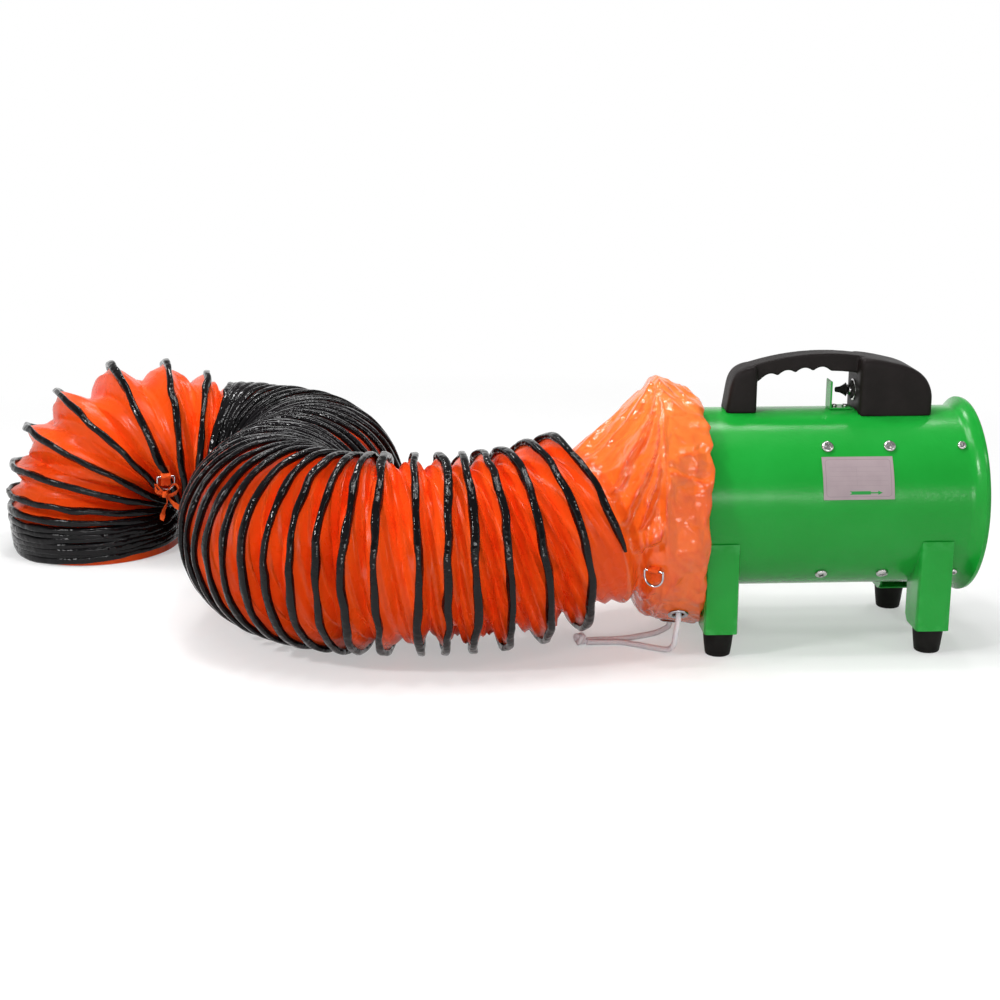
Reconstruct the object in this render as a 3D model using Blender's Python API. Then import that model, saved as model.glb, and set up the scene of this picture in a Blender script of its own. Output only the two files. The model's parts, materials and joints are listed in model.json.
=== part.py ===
"""A portable axial ventilator of the 200 mm class with its flexible duct, in metres, +Z up.

The origin is on the floor under the middle of the casing. +X runs along the fan's axis to its open end, and
the duct is drawn over the other end. Angles round the casing are clock angles: 0 is the top and a quarter
turn is the front, which faces -Y.
"""

import math

import bmesh
import bpy
from mathutils import Matrix, Vector

# Fits between pieces
GAP = 0.0003
HOLE_CLEARANCE = 0.0004
RUNNING_GAP = 0.0008

# Casing: a rolled tube with a flared bell at each end
CASING_RADIUS = 0.100
CASING_WALL = 0.0015
CASING_LENGTH = 0.336
CASING_SIDES = 32
AXIS_HEIGHT = 0.160
BELL_LENGTH = 0.0192
BELL_RISE = 0.0094
BELL_LIP = 0.005
BELL_LIP_DROP = 0.002
BELL_STEPS = (0.0, 0.4, 0.75, 1.0)

# Guards: rings of wire on four arms, with feet against the casing
GUARD_DEPTH = 0.0140
GUARD_WIRE = 0.0032
GUARD_ARM = 0.0040
GUARD_ARM_WIDTH = 0.006
GUARD_INNER_RING = 0.020
GUARD_RING_PITCH = 0.0165
GUARD_RINGS = 5
GUARD_RING_SIDES = 16
GUARD_FOOT_LENGTH = 0.018
GUARD_FOOT_THICKNESS = 0.003
DIAGONALS = (math.pi / 4, 3 * math.pi / 4, 5 * math.pi / 4, 7 * math.pi / 4)

# Legs and feet
LEG_END_SETBACK = 0.0506
LEG_WIDTH = 0.037
LEG_INSET = 0.003
LEG_DEPTH = 0.045
LEG_PLATE = 0.002
LEG_TOP_DROP = 0.030
LEG_CHAMFER = 0.007
FOOT_HEIGHT = 0.0278
FOOT_TOP_RADIUS = 0.017
FOOT_BOTTOM_RADIUS = 0.0139
FOOT_EDGE = 0.0012
FOOT_SETBACK = 0.019
FOOT_STEM_RADIUS = 0.004
FOOT_BARB_RADIUS = 0.0062
FOOT_BARB_HEIGHT = 0.005
FOOT_SIDES = 12

# Handle: a post, a grip and a switch box in one moulding, with heights above the casing's crown
HANDLE_SINK = 0.014
POST_LEFT = -0.110
POST_LEAN = 0.008
POST_RIGHT = -0.071
POST_HALF_WIDTH = 0.022
POST_SHOULDER = 0.040
POST_TOP = 0.0545
GRIP_HALF_WIDTH = 0.015
GRIP_TOP = 0.0650
GRIP_THICKNESS = 0.0200
GRIP_DROP = 0.0105
GRIP_PEAK = 0.005
SCALLOPS = 4
SCALLOP_PITCH = 0.0165
SCALLOP_DEPTH = 0.0022
BOX_LEFT = 0.040
BOX_RIGHT = 0.122
BOX_HALF_WIDTH = 0.030
BOX_TOP = 0.0615
BOX_SIDE = 0.012
BOX_WALL = 0.003
BOX_SOLID_END = 0.018
HANDLE_EDGE = 0.003
HANDLE_OVERLAP = 0.006

# Toggle switch in the box's wall, with a bent guard in front of it
SWITCH_RISE = 0.021
SWITCH_BODY_RADIUS = 0.0105
SWITCH_BODY_LENGTH = 0.022
BUSHING_RADIUS = 0.006
BUSHING_REACH = 0.0065
BUSHING_BORE = 0.0033
SWITCH_NUT_RIM = 0.003
SWITCH_NUT_THICKNESS = 0.0036
PIVOT_DEPTH = 0.004
LEVER_STEM = 0.0018
LEVER_BASE = 0.0015
LEVER_BOOT_RADIUS = 0.005
LEVER_BOOT_LENGTH = 0.005
LEVER_ROD_RADIUS = 0.0031
LEVER_LENGTH = 0.0185
SHIELD_PLATE = 0.002
SHIELD_HALF_WIDTH = 0.011
SHIELD_HEIGHT = 0.032
SHIELD_FOOT_LENGTH = 0.024
SHIELD_BOX_GAP = 0.004
SHIELD_SCREW_SPACING = 0.012

# Electrical pieces in the switch box
CAPACITOR_RADIUS = 0.012
CAPACITOR_LENGTH = 0.028
CAPACITOR_SETBACK = 0.006
TERMINAL_SIZE = (0.022, 0.010, 0.010)
GLAND_RISE = 0.018
GLAND_X = BOX_RIGHT - 0.034
GLAND_RADIUS = 0.0085
GLAND_NUT_RADIUS = 0.011
GLAND_NUT_LENGTH = 0.006
GLAND_DOME_LENGTH = 0.010
GLAND_BORE = 0.004

# Rating plate on the front of the casing
PLATE_LEFT = -0.012
PLATE_RIGHT = 0.065
PLATE_THICKNESS = 0.0006
PLATE_TOP_CLOCK = math.radians(52)
PLATE_BOTTOM_CLOCK = math.radians(79)
PLATE_STEPS = 3

# Motor
MOTOR_X = 0.030
MOTOR_LENGTH = 0.085
MOTOR_RADIUS = 0.045
MOTOR_WALL = 0.003
MOTOR_SIDES = 24
MOTOR_CAP = 0.012
MOTOR_CAP_WEB = 0.003
STATOR_LENGTH = 0.045
STATOR_BORE = 0.026
SHAFT_RADIUS = 0.006
SHAFT_SIDES = 12
NUT_SIDES = 6
SHAFT_OPEN_END = 0.006
SHAFT_DUCT_END = 0.066
BEARING_RADIUS = 0.016
BRACKET_LENGTH = 0.084
BRACKET_HALF_WIDTH = 0.0072
BRACKET_PLATE = 0.0025
BRACKET_SCREW_SPACING = 0.068

# Impeller
IMPELLER_X = -0.055
IMPELLER_LENGTH = 0.036
IMPELLER_HUB = 0.034
IMPELLER_NOSE = 0.022
BLADES = 6
BLADE_TIP_GAP = 0.004
BLADE_THICKNESS = 0.003
BLADE_ROOT_CHORD = 0.036
BLADE_TIP_CHORD = 0.046
BLADE_ROOT_PITCH = math.radians(48)
BLADE_TIP_PITCH = math.radians(26)
BLADE_STEPS = 3
BLADE_ROOT_SINK = 0.003
IMPELLER_NUT_RADIUS = 0.0095
IMPELLER_NUT_THICKNESS = 0.008

# Pan-head screws: head radius, head height, shank radius, shank length
BRACKET_SCREW = (0.0068, 0.0034, 0.0028, 0.0075)
GUARD_SCREW = (0.0050, 0.0028, 0.0022, 0.0068)
HANDLE_SCREW = (0.0045, 0.0024, 0.0022, 0.0150)
SHIELD_SCREW = (0.0034, 0.0020, 0.0016, 0.0055)
SCREW_SIDES = 8
SCREW_CROWN = 0.6
POST_SCREW_X = POST_LEFT + 0.019

# Duct: a strip wound on cloth that folds in between its turns. Each row is a turn of the strip with the x
# from the casing's end, y and z of that turn's centre, and the heading and tilt in degrees of the duct there.
DUCT_RADIUS = 0.113
DUCT_BORE = 0.091
DUCT_SIDES = 12
STRIP_HALF_WIDTH = 0.0036
STRIP_HALF_SHARE = 0.22
CLOTH_WIDTH = 0.047
FOLD_SHARE = 0.85
FOLD_LEAST = 0.009
FOLD_MOST = 0.0175
DUCT_FIRST_TURN = -0.45
DUCT_MOUTH_RADIUS = 0.089
DUCT_LAST_TURN = 56
DUCT_HEM_RADIUS = 0.108
DUCT_ROUTE = (
    (-0.5, -0.0755, -0.0165, 0.136, 197, -16),
    (0, -0.094, -0.022, 0.132, 197, -15),
    (1, -0.131, -0.034, 0.126, 196, -8),
    (2, -0.167, -0.043, 0.117, 193, -5),
    (3, -0.198, -0.049, 0.114, 188, -1),
    (4, -0.226, -0.053, DUCT_RADIUS, 184, 2),
    (6, -0.279, -0.055, DUCT_RADIUS, 180, 3),
    (7, -0.314, -0.054, DUCT_RADIUS, 175, 3),
    (9, -0.352, -0.048, DUCT_RADIUS, 162, 3),
    (11, -0.384, -0.034, DUCT_RADIUS, 148, 3),
    (13, -0.411, -0.012, DUCT_RADIUS, 134, 2),
    (15, -0.430, 0.014, DUCT_RADIUS, 120, 1),
    (18, -0.444, 0.060, DUCT_RADIUS, 99, 0),
    (22, -0.434, 0.132, DUCT_RADIUS, 70, 0),
    (25, -0.416, 0.186, DUCT_RADIUS, 70, 0),
    (28, -0.407, 0.240, DUCT_RADIUS, 88, 0),
    (32, -0.427, 0.311, DUCT_RADIUS, 119, 0),
    (36, -0.480, 0.354, DUCT_RADIUS, 149, 1),
    (40, -0.532, 0.367, 0.115, 172, 8),
    (41.25, -0.548, 0.373, 0.114, 180, 12),
    (42.25, -0.569, 0.380, 0.128, 184, 7),
    (43.25, -0.601, 0.386, 0.143, 188, -5),
    (44.25, -0.640, 0.390, 0.149, 191, -23),
    (45.25, -0.680, 0.393, 0.136, 194, -43),
    (46.25, -0.705, 0.395, 0.113, 196, -59),
    (47.25, -0.717, 0.397, 0.086, 198, -73),
    (48.25, -0.720, 0.398, 0.066, 199, -82),
    (49.25, -0.719, 0.398, 0.053, 200, -86),
    (52, -0.717, 0.398, 0.0325, 200, -89),
    (56, -0.714, 0.398, 0.0065, 200, -90),
)

# Sleeve that draws the duct over the casing's bell. Each row is the x from the casing's end and how far the
# cloth stands off the bell sideways, above and below; the hem's x is set by the legs.
SLEEVE_SIDES = 24
SLEEVE_HEM_GAP = 0.0016
SLEEVE_HEM = (0.0096, 0.0066, 0.0336)
SLEEVE_ROWS = (
    (0.018, 0.0146, 0.0136, 0.0331),
    (-0.006, 0.0176, 0.0236, 0.0316),
    (-0.018, 0.0180, 0.0246, 0.0286),
    (-0.032, 0.0106, 0.0086, 0.0096),
)
SLEEVE_WALL = 0.005
SLEEVE_BORE_LENGTH = 0.006
EYELET_BAND = 1
EYELET_FACETS = (3, 5)
EYELET_LIFT = 0.0009
EYELET_RADIUS = 0.0115
EYELET_BORE = 0.0065
EYELET_THICKNESS = 0.0016

# Drawcord: two strands from the eyelets to a knot, along points on and above the floor
CORD_RADIUS = 0.0032
CORD_SPACING = 0.008
KNOT_RADIUS = 0.0065
KNOT_AT = (-0.2669, -0.0455, 0.0068)
CORD_ROUTES = (
    ((-0.1655, -0.0840, 0.024), (-0.1670, -0.0830, 0.013), (-0.1725, -0.0770, 0.0050),
     (-0.188, -0.066, 0.0034), (-0.205, -0.055, 0.0034), (-0.222, -0.0465, 0.0034), (-0.242, -0.0455, 0.0034),
     (-0.2597, -0.0488, 0.0048)),
    ((-0.1670, -0.0170, 0.0085), (-0.178, -0.0190, 0.0042), (-0.195, -0.0260, 0.0034),
     (-0.212, -0.0330, 0.0034), (-0.230, -0.0365, 0.0034), (-0.246, -0.0365, 0.0034),
     (-0.2598, -0.0420, 0.0048)),
)

# D-rings in webbing tabs
RING_WIRE = 0.0013
RING_HALF_WIDTH = 0.011
RING_ARM = 0.006
RING_ARC_STEPS = 8
TAB_HALF_WIDTH = 0.0065
TAB_HALF_HEIGHT = 0.005
TAB_DEPTH = 0.0095
TAB_HOLE_DEPTH = 0.0060
TAB_HOLE_RADIUS = 0.0022
TAB_SINK = 0.003
SLEEVE_TAB_BAND = 3
SLEEVE_TAB_FACET = 1
STRAP_TURN = 44

# Placings worked out from the sizes above
FLAT = math.cos(math.pi / CASING_SIDES)
NEXT_FLAT = 2 * math.pi / CASING_SIDES
OUTER_FLAT = CASING_RADIUS * FLAT
INNER_FLAT = (CASING_RADIUS - CASING_WALL) * FLAT
HALF_LENGTH = CASING_LENGTH / 2
BELL_RADIUS = CASING_RADIUS + BELL_RISE
CROWN = AXIS_HEIGHT + OUTER_FLAT
GUARD_SCREW_X = HALF_LENGTH - BELL_LENGTH - GUARD_SCREW[0] - GAP
LEG_X = HALF_LENGTH - LEG_END_SETBACK
LEG_FACE = CASING_RADIUS - LEG_INSET
FAN_AXIS = Matrix.Translation((0, 0, AXIS_HEIGHT))
ALONG_X = Matrix.Rotation(math.pi / 2, 4, "Y")
ALONG_MINUS_X = Matrix.Rotation(-math.pi / 2, 4, "Y")
ALONG_Y = Matrix.Rotation(-math.pi / 2, 4, "X")
UPRIGHT = Matrix.Rotation(math.pi / 2, 4, "X")
CROSSWISE = Matrix(((0, 0, 1, 0), (1, 0, 0, 0), (0, 1, 0, 0), (0, 0, 0, 1)))
HALF_TURN = Matrix.Rotation(math.pi, 4, "Z")
SMOOTH_BELOW = math.radians(40)
MERGE = 1e-6
ROUND_PROFILE = 0.5


def make_material(name, colour, roughness, metallic=0.0):
    """A Principled material of one colour."""
    made = bpy.data.materials.new(name)
    made.use_nodes = True
    shader = made.node_tree.nodes["Principled BSDF"]
    shader.inputs["Base Color"].default_value = (*colour, 1.0)
    shader.inputs["Roughness"].default_value = roughness
    shader.inputs["Metallic"].default_value = metallic
    made.diffuse_color = (*colour, 1.0)
    return made


def add_node(name, shape, finish, frame=None):
    """An object made of a bmesh, in the frame given, with its round faces shaded smooth."""
    bmesh.ops.recalc_face_normals(shape, faces=shape.faces)
    mesh = bpy.data.meshes.new(name)
    shape.to_mesh(mesh)
    shape.free()
    if finish:
        mesh.materials.append(finish)
    made = bpy.data.objects.new(name, mesh)
    made.matrix_world = frame or Matrix.Identity(4)
    bpy.context.scene.collection.objects.link(made)
    shade(made)
    return made


def shade(node):
    """Smooth shading that keeps the hard edges."""
    node.data.shade_smooth()
    node.data.set_sharp_from_angle(angle=SMOOTH_BELOW)


def carve(target, cutters, operation="DIFFERENCE"):
    """Cuts the cutters from the target, or joins them to it, and leaves one plain mesh."""
    for cutter in cutters:
        cutter.hide_render = True
        cutter.display_type = "WIRE"
        boolean = target.modifiers.new(cutter.name, "BOOLEAN")
        boolean.operation = operation
        boolean.solver = "EXACT"
        boolean.object = cutter
    bpy.context.view_layer.update()
    graph = bpy.context.evaluated_depsgraph_get()
    made = bpy.data.meshes.new_from_object(target.evaluated_get(graph))
    target.modifiers.clear()
    target.data = made
    for cutter in cutters:
        bpy.data.objects.remove(cutter)
    shade(target)


def turned(profile, sides, closed=False):
    """A shape spun about Z from (along, radius) points, with its flats facing the four axes."""
    shape = bmesh.new()
    start = Matrix.Rotation(math.pi / sides, 3, "Z")
    points = [shape.verts.new(start @ Vector((radius, 0, along))) for along, radius in profile]
    edges = [shape.edges.new(pair) for pair in zip(points, points[1:])]
    if closed:
        edges.append(shape.edges.new((points[-1], points[0])))
    bmesh.ops.spin(
        shape, geom=points + edges, cent=(0, 0, 0), axis=(0, 0, 1), angle=2 * math.pi, steps=sides,
        use_merge=True,
    )
    bmesh.ops.remove_doubles(shape, verts=shape.verts, dist=MERGE)
    return shape


def ring_profile(low, high, bore, radius):
    """The outline of a plain ring for turned."""
    return [(low, bore), (high, bore), (high, radius), (low, radius)]


def rod_profile(low, high, radius):
    """The outline of a plain rod for turned."""
    return [(low, 0), (low, radius), (high, radius), (high, 0)]


def prism(outline, half_width):
    """An outline in the XY plane, extruded to both sides along Z."""
    shape = bmesh.new()
    base = shape.faces.new([shape.verts.new((across, along, -half_width)) for across, along in outline])
    pushed = bmesh.ops.extrude_face_region(shape, geom=[base])["geom"]
    corners = [item for item in pushed if isinstance(item, bmesh.types.BMVert)]
    bmesh.ops.translate(shape, verts=corners, vec=(0, 0, 2 * half_width))
    return shape


def rounded(shape, edge):
    """The shape with its edges bevelled."""
    bmesh.ops.recalc_face_normals(shape, faces=shape.faces)
    sharp = [item for item in shape.edges if item.calc_face_angle(0) > SMOOTH_BELOW]
    bmesh.ops.bevel(
        shape, geom=sharp, offset=edge, segments=2, profile=ROUND_PROFILE, affect="EDGES", clamp_overlap=True
    )
    return shape


def box(low, high):
    """A block between two corners."""
    outline = [(low[0], low[1]), (high[0], low[1]), (high[0], high[1]), (low[0], high[1])]
    shape = prism(outline, (high[2] - low[2]) / 2)
    bmesh.ops.translate(shape, verts=shape.verts, vec=(0, 0, (high[2] + low[2]) / 2))
    return shape


def drill(frame, low, high, radius, sides=SCREW_SIDES):
    """A cutter for a round hole along the frame's Z."""
    return add_node("drill", turned(rod_profile(low, high, radius), sides), None, frame)


def tube_node(name, points, radius, finish, closed=False, resolution=2):
    """A round tube through the points."""
    curve = bpy.data.curves.new(name, "CURVE")
    curve.dimensions = "3D"
    curve.bevel_depth = radius
    curve.bevel_resolution = resolution
    curve.use_fill_caps = not closed
    spline = curve.splines.new("POLY")
    spline.points.add(len(points) - 1)
    for place, point in zip(spline.points, points):
        place.co = (*point, 1.0)
    spline.use_cyclic_u = closed
    curve.materials.append(finish)
    made = bpy.data.objects.new(name, curve)
    bpy.context.scene.collection.objects.link(made)
    return made


def smooth_route(points, spacing):
    """Points at an even spacing on a Catmull-Rom curve through the route's own points."""
    padded = [2 * points[0] - points[1], *points, 2 * points[-1] - points[-2]]
    dense = []
    for before, start, end, after in zip(padded, padded[1:], padded[2:], padded[3:]):
        for step in range(16):
            along = step / 16
            dense.append(
                start
                + 0.5 * along * (end - before)
                + along**2 * (before - 2.5 * start + 2 * end - 0.5 * after)
                + along**3 * (1.5 * (start - end) + 0.5 * (after - before))
            )
    dense.append(points[-1])
    length = sum((b - a).length for a, b in zip(dense, dense[1:]))
    count = max(2, round(length / spacing))
    step = length / count
    kept = [dense[0]]
    travelled = 0.0
    for a, b in zip(dense, dense[1:]):
        travelled += (b - a).length
        if travelled >= step * len(kept) - MERGE and len(kept) < count:
            kept.append(b)
    kept.append(dense[-1])
    return kept


def round_casing(x, clock, radius):
    """A frame at a radius from the fan's axis, with Z pointing outwards and X along the axis."""
    return (
        Matrix.Translation((x, 0, AXIS_HEIGHT))
        @ Matrix.Rotation(clock, 4, "X")
        @ Matrix.Translation((0, 0, radius))
    )


def add_screw(name, sizes, finish, frame):
    """A pan-head screw whose head stands on the frame's XY plane, with its shank along -Z."""
    head, height, shank, length = sizes
    profile = [(-length, 0), (-length, shank), (0, shank), (0, head), (height / 2, head)]
    profile += [(height, SCREW_CROWN * head), (height, 0)]
    return add_node(name, turned(profile, SCREW_SIDES), finish, frame)


def casing_screws():
    """Every screw through the casing's wall: name, sizes, x, clock angle and whether its head is outside."""
    screws = []
    for number, clock in enumerate(DIAGONALS, 1):
        for end, side in (("duct", -1), ("open", 1)):
            x = MOTOR_X + side * BRACKET_SCREW_SPACING / 2
            screws.append((f"bracket_screw_{end}_{number}", BRACKET_SCREW, x, clock, True))
        screws.append((f"guard_screw_{number}", GUARD_SCREW, GUARD_SCREW_X, clock, True))
    screws.append(("handle_screw_post", HANDLE_SCREW, POST_SCREW_X, 0, False))
    screws.append(("handle_screw_box", HANDLE_SCREW, BOX_RIGHT - BOX_SOLID_END / 2, 0, False))
    return screws


def shield_screw_places():
    """The x of the two screws in the switch shield's foot."""
    middle = BOX_LEFT - SHIELD_BOX_GAP - SHIELD_FOOT_LENGTH / 2 + SHIELD_PLATE / 2
    return (middle - SHIELD_SCREW_SPACING / 2, middle + SHIELD_SCREW_SPACING / 2)


def add_casing(paint):
    """The rolled casing with its bells and the holes for its screws and the motor's leads."""
    outside = []
    inside = []
    for step in BELL_STEPS:
        setback = BELL_LIP + (BELL_LENGTH - BELL_LIP) * (1 - step)
        outside.append((HALF_LENGTH - setback, CASING_RADIUS + BELL_RISE * step**2))
    outside.append((HALF_LENGTH, BELL_RADIUS - BELL_LIP_DROP))
    for along, radius in outside:
        inside.append((along, radius - CASING_WALL))
    right = outside + inside[::-1]
    left = [(-along, radius) for along, radius in right[::-1]]
    tube = turned(right + left, CASING_SIDES, closed=True)
    casing = add_node("casing_tube", tube, paint, FAN_AXIS @ ALONG_X)
    drills = []
    for _, sizes, x, clock, _ in casing_screws():
        radius = sizes[2] + HOLE_CLEARANCE
        drills.append(drill(round_casing(x, clock, INNER_FLAT), -4 * CASING_WALL, 6 * CASING_WALL, radius))
    for x in shield_screw_places():
        radius = SHIELD_SCREW[2] + HOLE_CLEARANCE
        drills.append(drill(round_casing(x, 0, INNER_FLAT), -4 * CASING_WALL, 6 * CASING_WALL, radius))
    carve(casing, drills)


def add_guard(name, side, screwed, steel):
    """A finger guard: rings on four arms that end in feet along the casing's wall."""
    half = GUARD_ARM / 2
    tip = INNER_FLAT - GAP
    arm = [
        (half, GUARD_INNER_RING - GUARD_WIRE),
        (half, tip),
        (-GUARD_FOOT_LENGTH, tip),
        (-GUARD_FOOT_LENGTH, tip - GUARD_FOOT_THICKNESS),
        (-half, tip - GUARD_FOOT_THICKNESS),
        (-half, GUARD_INNER_RING - GUARD_WIRE),
    ]
    outline = [(side * along, radius) for along, radius in arm]
    middle = side * (HALF_LENGTH - GUARD_DEPTH)
    rings = []
    for number in range(GUARD_RINGS):
        radius = GUARD_INNER_RING + number * GUARD_RING_PITCH
        wire = GUARD_WIRE / 2
        profile = ring_profile(-wire, wire, radius - wire, radius + wire)
        frame = FAN_AXIS @ Matrix.Translation((middle, 0, 0)) @ ALONG_X
        rings.append(add_node("ring", turned(profile, GUARD_RING_SIDES, closed=True), None, frame))
    arms = []
    for clock in DIAGONALS:
        frame = round_casing(middle, clock, 0) @ UPRIGHT
        arms.append(add_node("arm", prism(outline, GUARD_ARM_WIDTH / 2), None, frame))
    guard = rings.pop(0)
    guard.name = name
    guard.data.materials.append(steel)
    carve(guard, arms + rings, "UNION")
    if screwed:
        x = side * GUARD_SCREW_X
        radius = GUARD_SCREW[2] + HOLE_CLEARANCE
        depth = 2 * GUARD_FOOT_THICKNESS
        carve(guard, [drill(round_casing(x, clock, tip), -depth, depth, radius) for clock in DIAGONALS])


def add_legs(paint, rubber):
    """Four channel legs welded under the casing, each with a push-in rubber foot."""
    inner = LEG_FACE - LEG_DEPTH
    top = AXIS_HEIGHT - LEG_TOP_DROP
    side = [
        (-LEG_FACE, FOOT_HEIGHT),
        (-LEG_FACE, top),
        (-inner, top),
        (-inner, FOOT_HEIGHT + LEG_CHAMFER),
        (-inner - LEG_CHAMFER, FOOT_HEIGHT),
    ]
    foot_y = LEG_FACE - FOOT_SETBACK
    stem_top = FOOT_HEIGHT + LEG_PLATE + GAP
    foot = [
        (0, 0),
        (0, FOOT_BOTTOM_RADIUS - FOOT_EDGE),
        (FOOT_EDGE, FOOT_BOTTOM_RADIUS),
        (FOOT_HEIGHT - GAP, FOOT_TOP_RADIUS),
        (FOOT_HEIGHT - GAP, FOOT_STEM_RADIUS),
        (stem_top, FOOT_STEM_RADIUS),
        (stem_top, FOOT_BARB_RADIUS),
        (stem_top + FOOT_BARB_HEIGHT, FOOT_STEM_RADIUS),
        (stem_top + FOOT_BARB_HEIGHT, 0),
    ]
    for end, x in (("duct", -LEG_X), ("open", LEG_X)):
        for face, turn in (("front", Matrix.Identity(4)), ("rear", HALF_TURN)):
            frame = Matrix.Translation((x, 0, 0)) @ turn
            leg = add_node(f"leg_{end}_{face}", prism(side, LEG_WIDTH / 2), paint, frame @ CROSSWISE)
            half = LEG_WIDTH / 2 - LEG_PLATE
            channel = box((-half, LEG_PLATE - LEG_FACE, FOOT_HEIGHT + LEG_PLATE), (half, 0, AXIS_HEIGHT))
            shell = turned(rod_profile(-LEG_WIDTH, LEG_WIDTH, CASING_RADIUS + GAP), CASING_SIDES)
            stem_hole = frame @ Matrix.Translation((0, -foot_y, FOOT_HEIGHT))
            carve(
                leg,
                [
                    add_node("channel", channel, None, frame),
                    add_node("shell", shell, None, frame @ FAN_AXIS @ ALONG_X),
                    drill(stem_hole, -LEG_PLATE, 2 * LEG_PLATE, FOOT_STEM_RADIUS + GAP, FOOT_SIDES),
                ],
            )
            place = frame @ Matrix.Translation((0, -foot_y, 0))
            add_node(f"foot_{end}_{face}", turned(foot, FOOT_SIDES), rubber, place)


def grip_outline():
    """The grip's side view: an arched top and finger scallops under its post end."""
    left = POST_RIGHT - HANDLE_OVERLAP
    right = BOX_LEFT + HANDLE_OVERLAP
    steps = 8

    def top(x):
        return GRIP_TOP - GRIP_DROP * ((x - GRIP_PEAK) / (left - GRIP_PEAK)) ** 2

    outline = [(left + (right - left) * step / steps, 0) for step in range(steps + 1)]
    outline = [(x, top(x)) for x, _ in outline]
    outline.append((right, top(right) - GRIP_THICKNESS))
    first = POST_RIGHT + SCALLOP_PITCH / 4
    for number in reversed(range(SCALLOPS + 1)):
        x = first + number * SCALLOP_PITCH
        outline.append((x, top(x) - GRIP_THICKNESS))
        if number:
            middle = x - SCALLOP_PITCH / 2
            outline.append((middle, top(middle) - GRIP_THICKNESS + SCALLOP_DEPTH))
    outline.append((left, top(left) - GRIP_THICKNESS))
    return outline


def box_outline(inset, right):
    """The switch box's side view, set in from its face: a flat left wall and a back that curves down."""
    left = BOX_LEFT + inset
    shoulder = (left + right) / 2
    reach = right - shoulder
    high = BOX_TOP - inset
    outline = [(left, -HANDLE_SINK), (left, high)]
    for step in range(5):
        angle = math.pi / 2 * (1 - step / 4)
        outline.append(
            (shoulder + reach * math.cos(angle), BOX_SIDE + (high - BOX_SIDE) * math.sin(angle))
        )
    outline.append((right, -HANDLE_SINK))
    return outline


def post_outline():
    """The post's side view, leaning in from its foot."""
    lean = POST_LEFT + POST_LEAN
    return [
        (POST_LEFT, -HANDLE_SINK),
        (lean, POST_SHOULDER),
        (lean + 0.35 * (POST_TOP - POST_SHOULDER), (POST_SHOULDER + POST_TOP) / 2),
        (lean + (POST_TOP - POST_SHOULDER), POST_TOP - HANDLE_EDGE),
        (POST_RIGHT, POST_TOP),
        (POST_RIGHT, -HANDLE_SINK),
    ]


def add_handle(plastic):
    """The moulded handle with its hollow switch box, open towards the casing."""
    frame = Matrix.Translation((0, 0, CROWN)) @ UPRIGHT
    post = rounded(prism(post_outline(), POST_HALF_WIDTH), HANDLE_EDGE)
    handle = add_node("handle_shell", post, plastic, frame)
    grip = rounded(prism(grip_outline(), GRIP_HALF_WIDTH), HANDLE_EDGE)
    switch_box = rounded(prism(box_outline(0, BOX_RIGHT), BOX_HALF_WIDTH), HANDLE_EDGE)
    carve(
        handle,
        [add_node("grip", grip, None, frame), add_node("switch_box", switch_box, None, frame)],
        "UNION",
    )
    hollow = prism(box_outline(BOX_WALL, BOX_RIGHT - BOX_SOLID_END), BOX_HALF_WIDTH - BOX_WALL)
    shell = turned(rod_profile(-HALF_LENGTH, HALF_LENGTH, CASING_RADIUS + GAP), CASING_SIDES)
    bushing_hole = Matrix.Translation((BOX_LEFT, 0, CROWN + SWITCH_RISE)) @ ALONG_X
    gland_hole = Matrix.Translation((GLAND_X, BOX_HALF_WIDTH, CROWN + GLAND_RISE)) @ ALONG_Y
    drills = []
    for _, sizes, x, clock, outside in casing_screws():
        if not outside:
            reach = HANDLE_SCREW[3] + GAP
            hole = round_casing(x, clock, INNER_FLAT)
            drills.append(drill(hole, -CASING_WALL, reach, sizes[2] + HOLE_CLEARANCE))
    carve(
        handle,
        [
            add_node("hollow", hollow, None, frame),
            add_node("shell", shell, None, FAN_AXIS @ ALONG_X),
            drill(bushing_hole, -BOX_WALL, 2 * BOX_WALL, BUSHING_RADIUS + GAP, SHAFT_SIDES),
            drill(gland_hole, -2 * BOX_WALL, BOX_WALL, GLAND_RADIUS + GAP, SHAFT_SIDES),
            *drills,
        ],
    )


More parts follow.
